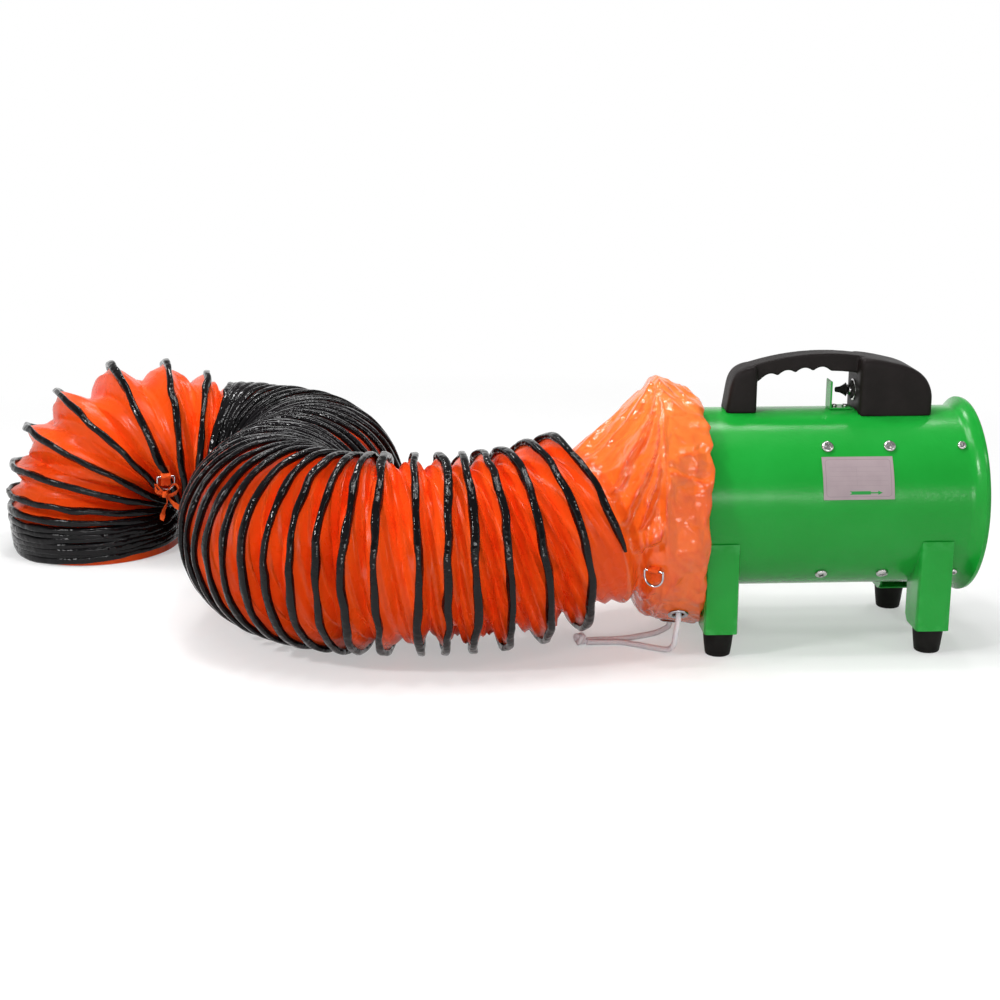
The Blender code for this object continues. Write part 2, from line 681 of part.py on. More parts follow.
def add_switch(steel, plastic, rubber, paint):
    """The toggle switch with its nut and lever, and the bent shield in front of it."""
    seat = Matrix.Translation((BOX_LEFT, 0, CROWN + SWITCH_RISE)) @ ALONG_MINUS_X
    back = -BOX_WALL - GAP
    body = [
        (back - SWITCH_BODY_LENGTH, 0),
        (back - SWITCH_BODY_LENGTH, SWITCH_BODY_RADIUS),
        (back, SWITCH_BODY_RADIUS),
        (back, BUSHING_RADIUS),
        (BUSHING_REACH, BUSHING_RADIUS),
        (BUSHING_REACH, BUSHING_BORE),
        (BUSHING_REACH - PIVOT_DEPTH - BUSHING_BORE, BUSHING_BORE),
        (BUSHING_REACH - PIVOT_DEPTH - BUSHING_BORE, 0),
    ]
    add_node("switch_body", turned(body, SHAFT_SIDES), plastic, seat)
    bore = (BUSHING_RADIUS + GAP) / math.cos(math.pi / NUT_SIDES)
    nut = ring_profile(GAP, GAP + SWITCH_NUT_THICKNESS, bore, bore + SWITCH_NUT_RIM)
    add_node("switch_nut", turned(nut, NUT_SIDES, closed=True), steel, seat)

    ball = BUSHING_BORE - GAP
    base = PIVOT_DEPTH + LEVER_BASE
    lever = [(-ball, 0)]
    for step in range(1, 4):
        angle = math.pi * step / 5
        lever.append((-ball * math.cos(angle), ball * math.sin(angle)))
    lever += [
        (ball, LEVER_STEM),
        (base, LEVER_STEM),
        (base, LEVER_BOOT_RADIUS),
        (base + LEVER_BOOT_LENGTH, LEVER_ROD_RADIUS),
        (LEVER_LENGTH - LEVER_ROD_RADIUS / 2, LEVER_ROD_RADIUS),
        (LEVER_LENGTH, LEVER_ROD_RADIUS / 2),
        (LEVER_LENGTH, 0),
    ]
    pivot = seat @ Matrix.Translation((0, 0, BUSHING_REACH - PIVOT_DEPTH))
    add_node("toggle_lever", turned(lever, SHAFT_SIDES), rubber, pivot)

    right = BOX_LEFT - SHIELD_BOX_GAP
    left = right - SHIELD_FOOT_LENGTH
    outline = [
        (left, GAP),
        (right, GAP),
        (right, GAP + SHIELD_PLATE),
        (left + SHIELD_PLATE, GAP + SHIELD_PLATE),
        (left + SHIELD_PLATE, SHIELD_HEIGHT),
        (left, SHIELD_HEIGHT),
    ]
    frame = Matrix.Translation((0, 0, CROWN)) @ UPRIGHT
    shield = add_node("switch_shield", prism(outline, SHIELD_HALF_WIDTH), paint, frame)
    places = [Matrix.Translation((x, 0, CROWN + SHIELD_PLATE + 2 * GAP)) for x in shield_screw_places()]
    hole = SHIELD_SCREW[2] + HOLE_CLEARANCE
    carve(shield, [drill(place, -2 * SHIELD_PLATE, SHIELD_PLATE, hole) for place in places])
    for number, place in enumerate(places, 1):
        add_screw(f"shield_screw_{number}", SHIELD_SCREW, steel, place)


def add_wiring(plastic, aluminium):
    """The motor's run capacitor, the terminal block and the cable gland of the switch box."""
    right = BOX_RIGHT - BOX_SOLID_END - CAPACITOR_SETBACK
    can = rod_profile(right - CAPACITOR_LENGTH, right, CAPACITOR_RADIUS)
    height = CROWN + GAP + CAPACITOR_RADIUS * math.cos(math.pi / SHAFT_SIDES)
    frame = Matrix.Translation((0, 0, height)) @ ALONG_X
    add_node("run_capacitor", turned(can, SHAFT_SIDES), aluminium, frame)

    length, width, depth = TERMINAL_SIZE
    seat = round_casing(right - length / 2, NEXT_FLAT, OUTER_FLAT + GAP)
    block = box((-length / 2, -width / 2, 0), (length / 2, width / 2, depth))
    add_node("terminal_block", block, plastic, seat)

    seat = Matrix.Translation((GLAND_X, BOX_HALF_WIDTH, CROWN + GLAND_RISE)) @ ALONG_Y
    gland = [
        (-2 * BOX_WALL, GLAND_BORE),
        (GAP + GLAND_NUT_LENGTH + GLAND_DOME_LENGTH, GLAND_BORE),
        (GAP + GLAND_NUT_LENGTH + GLAND_DOME_LENGTH, GLAND_RADIUS - GLAND_BORE / 2),
        (GAP + GLAND_NUT_LENGTH, GLAND_RADIUS),
        (GAP + GLAND_NUT_LENGTH, GLAND_NUT_RADIUS),
        (GAP, GLAND_NUT_RADIUS),
        (GAP, GLAND_RADIUS),
        (-2 * BOX_WALL, GLAND_RADIUS),
    ]
    add_node("cable_gland", turned(gland, SHAFT_SIDES, closed=True), plastic, seat)


def add_rating_plate(aluminium):
    """A thin curved plate on the front of the casing."""
    low = (CASING_RADIUS + GAP) / math.cos((PLATE_BOTTOM_CLOCK - PLATE_TOP_CLOCK) / PLATE_STEPS / 2)
    clocks = [
        PLATE_TOP_CLOCK + (PLATE_BOTTOM_CLOCK - PLATE_TOP_CLOCK) * step / PLATE_STEPS
        for step in range(PLATE_STEPS + 1)
    ]
    section = [(-low * math.sin(clock), low * math.cos(clock)) for clock in clocks]
    high = low + PLATE_THICKNESS
    section += [(-high * math.sin(clock), high * math.cos(clock)) for clock in reversed(clocks)]
    frame = FAN_AXIS @ Matrix.Translation(((PLATE_LEFT + PLATE_RIGHT) / 2, 0, 0)) @ CROSSWISE
    add_node("rating_plate", prism(section, (PLATE_RIGHT - PLATE_LEFT) / 2), aluminium, frame)


def add_motor(aluminium, steel, dark_steel):
    """The motor's shell, ends, bearings and stator, and the four brackets that hold it in the casing."""
    frame = FAN_AXIS @ Matrix.Translation((MOTOR_X, 0, 0)) @ ALONG_X
    half = MOTOR_LENGTH / 2
    shell = ring_profile(-half, half, MOTOR_RADIUS - MOTOR_WALL, MOTOR_RADIUS)
    add_node("motor_shell", turned(shell, MOTOR_SIDES, closed=True), aluminium, frame)
    stator = ring_profile(-STATOR_LENGTH / 2, STATOR_LENGTH / 2, STATOR_BORE, MOTOR_RADIUS - MOTOR_WALL - GAP)
    add_node("stator_core", turned(stator, MOTOR_SIDES, closed=True), dark_steel, frame)
    pocket = half + GAP + MOTOR_CAP - MOTOR_CAP_WEB
    cap = [
        (half + GAP, BEARING_RADIUS + GAP),
        (pocket, BEARING_RADIUS + GAP),
        (pocket, SHAFT_RADIUS + RUNNING_GAP),
        (half + GAP + MOTOR_CAP, SHAFT_RADIUS + RUNNING_GAP),
        (half + GAP + MOTOR_CAP, MOTOR_RADIUS - MOTOR_WALL),
        (half + GAP, MOTOR_RADIUS),
    ]
    bearing = ring_profile(half + GAP, pocket - GAP, SHAFT_RADIUS + GAP, BEARING_RADIUS)
    for end, turn in (("open", Matrix.Identity(4)), ("duct", Matrix.Rotation(math.pi, 4, "X"))):
        add_node(f"motor_cap_{end}", turned(cap, SHAFT_SIDES, closed=True), aluminium, frame @ turn)
        add_node(f"bearing_{end}", turned(bearing, SHAFT_SIDES, closed=True), steel, frame @ turn)

    low = MOTOR_RADIUS * math.cos(math.pi / MOTOR_SIDES) + GAP
    high = INNER_FLAT - GAP
    wide = BRACKET_HALF_WIDTH
    channel = [
        (-wide, low),
        (wide, low),
        (wide, low + BRACKET_PLATE),
        (BRACKET_PLATE - wide, low + BRACKET_PLATE),
        (BRACKET_PLATE - wide, high - BRACKET_PLATE),
        (wide, high - BRACKET_PLATE),
        (wide, high),
        (-wide, high),
    ]
    for number, clock in enumerate(DIAGONALS, 1):
        place = round_casing(MOTOR_X, clock, 0)
        folded = prism(channel, BRACKET_LENGTH / 2)
        bracket = add_node(f"motor_bracket_{number}", folded, steel, place @ CROSSWISE)
        holes = []
        for side in (-1, 1):
            hole = place @ Matrix.Translation((side * BRACKET_SCREW_SPACING / 2, 0, high))
            holes.append(drill(hole, -2 * BRACKET_PLATE, BRACKET_PLATE, BRACKET_SCREW[2] + HOLE_CLEARANCE))
        carve(bracket, holes)


def blade():
    """One twisted blade, standing along Z from inside the hub to its tip."""
    shape = bmesh.new()
    root = IMPELLER_HUB - BLADE_ROOT_SINK
    tip = INNER_FLAT - BLADE_TIP_GAP
    rows = []
    for step in range(BLADE_STEPS + 1):
        share = step / BLADE_STEPS
        height = root + (tip - root) * share
        half = (BLADE_ROOT_CHORD + (BLADE_TIP_CHORD - BLADE_ROOT_CHORD) * share) / 2
        pitch = BLADE_ROOT_PITCH + (BLADE_TIP_PITCH - BLADE_ROOT_PITCH) * share
        turn = Matrix.Rotation(-pitch, 3, "Z")
        thick = BLADE_THICKNESS / 2
        corners = [(-thick, -half), (thick, -half), (thick, half), (-thick, half)]
        rows.append([shape.verts.new(turn @ Vector((x, y, height))) for x, y in corners])
    bridge(shape, rows)
    shape.faces.new(rows[0])
    shape.faces.new(rows[-1])
    return shape


def bridge(shape, rows, closed=False):
    """Quads between neighbouring rows of points that each run round a section."""
    following = rows[1:] + rows[:1] if closed else rows[1:]
    for lower, upper in zip(rows, following):
        for index in range(len(lower)):
            after = (index + 1) % len(lower)
            shape.faces.new((lower[index], lower[after], upper[after], upper[index]))


def add_rotor(steel, dark_steel, plastic):
    """What turns: the shaft, the rotor's core, and the impeller with its nut."""
    cap_face = MOTOR_LENGTH / 2 + GAP + MOTOR_CAP
    frame = FAN_AXIS @ ALONG_X
    shaft_ends = (MOTOR_X - cap_face - SHAFT_DUCT_END, MOTOR_X + cap_face + SHAFT_OPEN_END)
    shaft = rod_profile(*shaft_ends, SHAFT_RADIUS)
    add_node("motor_shaft", turned(shaft, SHAFT_SIDES), steel, frame)
    core = ring_profile(
        MOTOR_X - STATOR_LENGTH / 2, MOTOR_X + STATOR_LENGTH / 2,
        SHAFT_RADIUS + GAP, STATOR_BORE - RUNNING_GAP,
    )
    add_node("rotor_core", turned(core, MOTOR_SIDES, closed=True), dark_steel, frame)

    half = IMPELLER_LENGTH / 2
    hub = [
        (-half, SHAFT_RADIUS + GAP),
        (half, SHAFT_RADIUS + GAP),
        (half, IMPELLER_HUB),
        (IMPELLER_NOSE / 2 - half, IMPELLER_HUB),
        (-half, IMPELLER_HUB - IMPELLER_NOSE / 2),
    ]
    place = FAN_AXIS @ Matrix.Translation((IMPELLER_X, 0, 0))
    impeller = add_node("impeller", turned(hub, MOTOR_SIDES, closed=True), plastic, place @ ALONG_X)
    blades = []
    for number in range(BLADES):
        turn = Matrix.Rotation(2 * math.pi * number / BLADES, 4, "X")
        blades.append(add_node("blade", blade(), None, place @ turn))
    carve(impeller, blades, "UNION")
    face = IMPELLER_X - half - GAP
    nut = ring_profile(face - IMPELLER_NUT_THICKNESS, face, SHAFT_RADIUS + GAP, IMPELLER_NUT_RADIUS)
    add_node("impeller_nut", turned(nut, SHAFT_SIDES, closed=True), steel, frame)


def route_slopes(rows):
    """The slope at each row, from its neighbours and weighted by the distance to them."""
    steps = [b[0] - a[0] for a, b in zip(rows, rows[1:])]
    rises = [[(q - p) / step for p, q in zip(a[1:], b[1:])] for a, b, step in zip(rows, rows[1:], steps)]
    slopes = [rises[0]]
    for before, after, near, far in zip(steps, steps[1:], rises, rises[1:]):
        slopes.append([(after * p + before * q) / (before + after) for p, q in zip(near, far)])
    slopes.append(rises[-1])
    return slopes


DUCT_SLOPES = route_slopes(DUCT_ROUTE)


def station(turn):
    """The duct's centre and its sideways, forward and upward directions at a turn of the strip."""
    index = 0
    while index < len(DUCT_ROUTE) - 2 and DUCT_ROUTE[index + 1][0] < turn:
        index += 1
    start, end = DUCT_ROUTE[index], DUCT_ROUTE[index + 1]
    span = end[0] - start[0]
    u = (turn - start[0]) / span
    values = [
        p * (1 + 2 * u) * (1 - u) ** 2
        + m * span * u * (1 - u) ** 2
        + q * u**2 * (3 - 2 * u)
        + n * span * u**2 * (u - 1)
        for p, q, m, n in zip(start[1:], end[1:], DUCT_SLOPES[index], DUCT_SLOPES[index + 1])
    ]
    x, y, z, heading, tilt = values
    heading = math.radians(heading)
    tilt = math.radians(tilt)
    sideways = Vector((math.sin(heading), -math.cos(heading), 0))
    level = math.cos(tilt)
    forward = Vector((level * math.cos(heading), level * math.sin(heading), math.sin(tilt)))
    return Vector((x - HALF_LENGTH, y, z)), sideways, forward, sideways.cross(forward)


def duct_point(turn, step, radius):
    """A point on the duct at a turn, some steps from its near side up over its top, none below the floor."""
    centre, sideways, _, upward = station(turn)
    angle = math.pi - 2 * math.pi * step / DUCT_SIDES
    point = centre + radius * (math.cos(angle) * sideways + math.sin(angle) * upward)
    return Vector((point.x, point.y, max(point.z, 0)))


def duct_ring(turn, radius):
    """Points round the duct at a turn."""
    return [duct_point(turn, step, radius) for step in range(DUCT_SIDES)]


def duct_winding():
    """Points along the whole winding: the strip's two edges, and the bottom of the fold that follows it."""
    left, right, fold = [], [], []
    for step in range(DUCT_LAST_TURN * DUCT_SIDES):
        turn = (step + 0.5) / DUCT_SIDES
        before = min(turn, DUCT_LAST_TURN - 1)
        apart = (duct_point(before + 1, step, DUCT_RADIUS) - duct_point(before, step, DUCT_RADIUS)).length
        half = min(STRIP_HALF_WIDTH, STRIP_HALF_SHARE * apart) * station(turn)[2]
        crest = duct_point(turn, step, DUCT_RADIUS)
        left.append(crest - half)
        right.append(crest + half)
        slack = math.sqrt(max(CLOTH_WIDTH**2 - apart**2, 0)) / 2
        depth = min(max(FOLD_SHARE * slack, FOLD_LEAST), FOLD_MOST)
        fold.append(duct_point(turn + 0.5, step, DUCT_RADIUS - depth))
    return left, right, fold[:-DUCT_SIDES]


def fan_out(shape, hub, rim):
    """Triangles from one point to a line of points."""
    for start, end in zip(rim, rim[1:]):
        shape.faces.new((hub, start, end))


def add_duct(fabric):
    """The duct as one shell: the strip's winding, the cloth folded in between, and a plain bore."""
    hem = [Vector((point.x, point.y, 0)) for point in duct_ring(DUCT_LAST_TURN, DUCT_HEM_RADIUS)]
    inner_hem = [Vector((point.x, point.y, 0)) for point in duct_ring(DUCT_LAST_TURN, DUCT_BORE)]
    inside = [duct_ring(turn, DUCT_BORE) for turn in range(DUCT_LAST_TURN - 1, 0, -1)]
    inner_mouth = duct_ring(DUCT_FIRST_TURN, DUCT_MOUTH_RADIUS - SLEEVE_WALL)
    rings = [hem, inner_hem, *inside, inner_mouth, duct_ring(DUCT_FIRST_TURN, DUCT_MOUTH_RADIUS)]

    shape = bmesh.new()
    rows = [[shape.verts.new(point) for point in ring] for ring in rings]
    bridge(shape, rows)
    left, right, fold = ([shape.verts.new(point) for point in line] for line in duct_winding())
    for step in range(len(left) - 1):
        shape.faces.new((left[step], left[step + 1], right[step + 1], right[step]))
    for step in range(len(fold) - 1):
        after = step + DUCT_SIDES
        shape.faces.new((right[step], right[step + 1], fold[step + 1], fold[step]))
        shape.faces.new((fold[step], fold[step + 1], left[after + 1], left[after]))
    hem, mouth = rows[0], rows[-1]
    last = len(left) - DUCT_SIDES
    for step in range(DUCT_SIDES - 1):
        shape.faces.new((mouth[step], mouth[step + 1], left[step + 1], left[step]))
        shape.faces.new((right[last + step], right[last + step + 1], hem[step + 1], hem[step]))
    start = [mouth[-1], mouth[0], left[0], right[0], fold[0], left[DUCT_SIDES]]
    fan_out(shape, left[DUCT_SIDES - 1], start)
    end = [right[last - 1], fold[-1], left[-1], right[-1], hem[-1], hem[0]]
    fan_out(shape, right[last], end)
    add_node("duct_hose", shape, fabric)


def sleeve_rings():
    """The sleeve's outer sections from its hem to the duct."""
    rows = [(-LEG_X - LEG_WIDTH / 2 - SLEEVE_HEM_GAP, *SLEEVE_HEM)]
    rows += [(x - HALF_LENGTH, *slack) for x, *slack in SLEEVE_ROWS]
    rings = []
    for x, beside, above, below in rows:
        top = AXIS_HEIGHT + BELL_RADIUS + above
        bottom = AXIS_HEIGHT - BELL_RADIUS - below
        ring = []
        for side in range(SLEEVE_SIDES):
            angle = 2 * math.pi * side / SLEEVE_SIDES
            across = (BELL_RADIUS + beside) * math.cos(angle)
            ring.append(Vector((x, across, (top + bottom) / 2 + (top - bottom) / 2 * math.sin(angle))))
        rings.append(ring)
    return rings


def sleeve_end(radius):
    """The sleeve's last section, face to face with the duct's first."""
    centre, sideways, forward, upward = station(DUCT_FIRST_TURN)
    centre = centre - 2 * GAP * forward
    angles = [2 * math.pi * side / SLEEVE_SIDES for side in range(SLEEVE_SIDES)]
    return [centre + radius * (math.cos(a) * sideways + math.sin(a) * upward) for a in angles]


def facet_frame(rings, band, facet):
    """A frame on a facet of the sleeve, counted down from its front, with Z outwards and X along -X."""
    index = (SLEEVE_SIDES // 2 + facet) % SLEEVE_SIDES
    after = (index + 1) % SLEEVE_SIDES
    corners = [rings[band][index], rings[band][after], rings[band + 1][after], rings[band + 1][index]]
    centre = sum(corners, Vector()) / 4
    along = (corners[2] + corners[3] - corners[0] - corners[1]).normalized()
    round_it = (corners[1] + corners[2] - corners[0] - corners[3]).normalized()
    outward = along.cross(round_it).normalized()
    if outward.dot(centre - Vector((centre.x, 0, AXIS_HEIGHT))) < 0:
        outward.negate()
    across = outward.cross(along).normalized()
    return Matrix.Translation(centre) @ Matrix((along, across, outward)).transposed().to_4x4()


def add_sleeve(fabric, steel, cord):
    """The sleeve with its eyelets, the drawcord and the D-ring in its webbing tab."""
    outer = sleeve_rings()
    outer_end = sleeve_end(DUCT_MOUTH_RADIUS)
    bore = (BELL_RADIUS + GAP) / math.cos(math.pi / SLEEVE_SIDES)
    bore_ends = (outer[0][0].x, -HALF_LENGTH - SLEEVE_BORE_LENGTH)
    angles = [2 * math.pi * side / SLEEVE_SIDES for side in range(SLEEVE_SIDES)]
    lining = [
        [Vector((x, bore * math.cos(a), AXIS_HEIGHT + bore * math.sin(a))) for a in angles] for x in bore_ends
    ]
    rings = [*outer, outer_end, sleeve_end(DUCT_MOUTH_RADIUS - SLEEVE_WALL), *reversed(lining)]
    shape = bmesh.new()
    rows = [[shape.verts.new(point) for point in ring] for ring in rings]
    bridge(shape, rows, closed=True)
    sleeve = add_node("duct_sleeve", shape, fabric)

    profile = ring_profile(0, EYELET_THICKNESS, EYELET_BORE, EYELET_RADIUS)
    starts = []
    for number, facet in enumerate(EYELET_FACETS, 1):
        seat = facet_frame(outer, EYELET_BAND, facet) @ Matrix.Translation((0, 0, EYELET_LIFT))
        add_node(f"sleeve_eyelet_{number}", turned(profile, SHAFT_SIDES, closed=True), steel, seat)
        starts.append((seat.translation, seat @ Vector((0, 0, 2 * CORD_RADIUS))))
    for number, (ends, route) in enumerate(zip(starts, CORD_ROUTES), 1):
        points = smooth_route([*ends, *[Vector(point) for point in route]], CORD_SPACING)
        tube_node(f"drawcord_{number}", points, CORD_RADIUS, cord)
    knot = bmesh.new()
    bmesh.ops.create_uvsphere(knot, u_segments=10, v_segments=8, radius=KNOT_RADIUS)
    add_node("drawcord_knot", knot, cord, Matrix.Translation(KNOT_AT))

    facet = facet_frame(outer, SLEEVE_TAB_BAND, SLEEVE_TAB_FACET)
    tab_frame = ring_frame(facet.translation, facet.to_3x3() @ Vector((0, 0, 1)))
    carve(sleeve, [add_node("tab", tab_block(-TAB_SINK), None, tab_frame)], "UNION")
    carve(sleeve, [tab_drill(tab_frame)])
    add_ring("d_ring_sleeve", tab_frame, steel)


def ring_frame(place, outward):
    """A tab's frame: Z outwards, X level along the D-ring's bar."""
    bar = Vector((outward.y, -outward.x, 0)).normalized()
    return Matrix.Translation(place) @ Matrix((bar, outward.cross(bar), outward)).transposed().to_4x4()


def tab_block(low):
    """The webbing tab as a block standing on its frame."""
    return box((-TAB_HALF_WIDTH, -TAB_HALF_HEIGHT, low), (TAB_HALF_WIDTH, TAB_HALF_HEIGHT, TAB_DEPTH))


def tab_drill(frame):
    """The cutter for the D-ring's bar."""
    hole = frame @ Matrix.Translation((0, 0, TAB_HOLE_DEPTH)) @ ALONG_X
    return drill(hole, -2 * TAB_HALF_WIDTH, 2 * TAB_HALF_WIDTH, TAB_HOLE_RADIUS, SHAFT_SIDES)


def add_ring(name, frame, steel):
    """A D-ring hanging straight down from its bar, with its origin on the bar."""
    bar = frame @ Matrix.Translation((0, 0, TAB_HOLE_DEPTH))
    points = [Vector((-RING_HALF_WIDTH, 0, 0)), Vector((0, 0, 0)), Vector((RING_HALF_WIDTH, 0, 0))]
    for step in range(RING_ARC_STEPS + 1):
        angle = math.pi * step / RING_ARC_STEPS
        across = RING_HALF_WIDTH * math.cos(angle)
        points.append(Vector((across, 0, -RING_ARM - RING_HALF_WIDTH * math.sin(angle))))
    ring = tube_node(name, points, RING_WIRE, steel, closed=True, resolution=1)
    level = bar.to_3x3() @ Vector((1, 0, 0))
    turn = Matrix((level, Vector((0, 0, 1)).cross(level), Vector((0, 0, 1)))).transposed().to_4x4()
    ring.matrix_world = Matrix.Translation(bar.translation) @ turn


def add_strap(fabric, steel):
    """The tie strap's tab on the duct's gathered end, with its D-ring."""
    centre, sideways, _, upward = station(STRAP_TURN)
    below_front = math.pi + math.pi / DUCT_SIDES
    outward = math.cos(below_front) * sideways + math.sin(below_front) * upward
    facet = DUCT_RADIUS * math.cos(math.pi / DUCT_SIDES)
    frame = ring_frame(centre + (facet + GAP) * outward, outward)
    strap = add_node("duct_tie_strap", tab_block(0), fabric, frame)
    carve(strap, [tab_drill(frame)])
    add_ring("d_ring_strap", frame, steel)


def main():
    """Builds every piece."""
    for old in list(bpy.data.objects):
        bpy.data.objects.remove(old)
    paint = make_material("green_paint", (0.035, 0.36, 0.065), 0.35)
    plastic = make_material("black_plastic", (0.012, 0.011, 0.011), 0.5)
    rubber = make_material("black_rubber", (0.014, 0.013, 0.013), 0.7)
    steel = make_material("zinc_steel", (0.6, 0.6, 0.62), 0.3, 1.0)
    dark_steel = make_material("core_steel", (0.18, 0.18, 0.19), 0.5, 1.0)
    aluminium = make_material("aluminium", (0.72, 0.70, 0.70), 0.4, 1.0)
    fabric = make_material("orange_fabric", (0.85, 0.09, 0.01), 0.35)
    cord = make_material("white_cord", (0.80, 0.74, 0.78), 0.8)

    add_casing(paint)
    add_guard("guard_open", 1, True, steel)
    add_guard("guard_duct", -1, False, steel)
    add_legs(paint, rubber)
    add_handle(plastic)
    add_switch(steel, plastic, rubber, paint)
    add_wiring(plastic, aluminium)
    add_rating_plate(aluminium)
    add_motor(aluminium, steel, dark_steel)
    add_rotor(steel, dark_steel, plastic)
    for name, sizes, x, clock, outside in casing_screws():
        if outside:
            seat = round_casing(x, clock, OUTER_FLAT + GAP)
        else:
            seat = round_casing(x, clock, INNER_FLAT - GAP) @ Matrix.Rotation(math.pi, 4, "X")
        add_screw(name, sizes, steel, seat)
    add_duct(fabric)
    add_sleeve(fabric, steel, cord)
    add_strap(fabric, steel)


main()
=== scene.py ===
"""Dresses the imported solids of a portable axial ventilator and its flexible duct, in metres, +Z up."""

import json
import logging
import math
import operator
from dataclasses import dataclass, field
from enum import Enum
from functools import reduce
from typing import Any, Callable, Iterable, Optional, Sequence, Union

import bmesh
import bpy
import numpy as np
from mathutils import Matrix, Vector


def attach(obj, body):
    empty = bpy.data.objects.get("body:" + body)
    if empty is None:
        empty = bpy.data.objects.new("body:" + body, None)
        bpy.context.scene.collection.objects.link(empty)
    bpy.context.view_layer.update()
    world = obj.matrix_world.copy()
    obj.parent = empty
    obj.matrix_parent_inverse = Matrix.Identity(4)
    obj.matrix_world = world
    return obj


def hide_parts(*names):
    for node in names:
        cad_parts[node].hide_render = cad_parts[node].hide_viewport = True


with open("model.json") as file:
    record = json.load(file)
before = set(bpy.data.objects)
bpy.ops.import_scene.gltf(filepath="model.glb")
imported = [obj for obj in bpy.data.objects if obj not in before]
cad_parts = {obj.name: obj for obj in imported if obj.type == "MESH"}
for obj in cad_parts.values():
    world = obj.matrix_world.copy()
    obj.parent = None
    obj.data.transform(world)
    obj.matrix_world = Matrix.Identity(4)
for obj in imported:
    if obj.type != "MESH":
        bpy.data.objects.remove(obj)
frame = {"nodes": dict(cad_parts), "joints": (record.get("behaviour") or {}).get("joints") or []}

LOG = logging.getLogger("ventilator")
Pair = tuple[float, float]
Triple = tuple[float, float, float]
Line = tuple[Pair, ...]
Row = tuple[float, ...]
Points = Sequence[Sequence[float]]
Colour = Triple
Array = np.ndarray
Number = Union[float, "Signal"]
Socket = Union[int, str]

GAP = 0.0003
CASING_RADIUS = 0.100
CASING_WALL = 0.0015
HALF_LENGTH = 0.168
AXIS_HEIGHT = 0.160
BELL_RADIUS = 0.1094
CROWN = AXIS_HEIGHT + CASING_RADIUS
SOLID_CROWN = 0.2595185
DIAGONALS = tuple(math.radians(angle) for angle in (45, 135, 225, 315))
FAN_AXIS = Matrix.Translation((0, 0, AXIS_HEIGHT)) @ Matrix.Rotation(math.pi / 2, 4, "Y")
UPRIGHT = Matrix.Rotation(math.pi / 2, 4, "X")
LAY = "lay"
RAYS = ("Camera", "Glossy", "Transmission")
MOTTLE = (0.38, 0.66)
# Pointiness and patch ranges for the pale edge colour: wear on paint, plastics and rubber, and a painted highlight
# along the crests of cloth folds.
WEAR_AND_SHEEN_EDGES = (0.53, 0.60)
WEAR_AND_SHEEN_PATCHES = (0.40, 0.65)
# Pointiness range over which cloth goes from its painted shade colour in concave creases to its own colour.
PAINTED_SHADE_POINTINESS = (0.42, 0.505)
SMOOTH_ALL = 180.0


class Body(Enum):
    """The bodies that pieces ride on."""

    FAN = "fan"
    ROTOR = "rotor"
    TOGGLE = "toggle"
    DUCT = "duct"
    SLEEVE_RING = "sleeve_ring"
    STRAP_RING = "strap_ring"


def operation(kind: str, reflected: bool = False) -> Callable[["Signal", "Number"], "Signal"]:
    """An operator that adds a Math node.

    Args:
        kind: the Math node's operation.
        reflected: whether the other value comes first.

    Returns:
        The operator's method.
    """

    def applied(self: "Signal", other: "Number") -> "Signal":
        """The Math node's value for this signal and another value."""
        return self.graph.math(kind, *((other, self) if reflected else (self, other)))

    return applied


class Signal:
    """A shader socket that takes part in Python expressions."""

    def __init__(self, graph: "Graph", socket: bpy.types.NodeSocket) -> None:
        """Keeps the socket and the graph that it belongs to."""
        self.graph = graph
        self.socket = socket

    __add__ = __radd__ = operation("ADD")
    __mul__ = __rmul__ = operation("MULTIPLY")
    __sub__, __rsub__ = operation("SUBTRACT"), operation("SUBTRACT", True)
    __truediv__, __rtruediv__ = operation("DIVIDE"), operation("DIVIDE", True)
    __mod__, __rmod__ = operation("FLOORED_MODULO"), operation("FLOORED_MODULO", True)
    __lt__, __gt__ = operation("LESS_THAN"), operation("GREATER_THAN")

    def __abs__(self) -> "Signal":
        """This value without its sign."""
        return self.graph.math("ABSOLUTE", self)


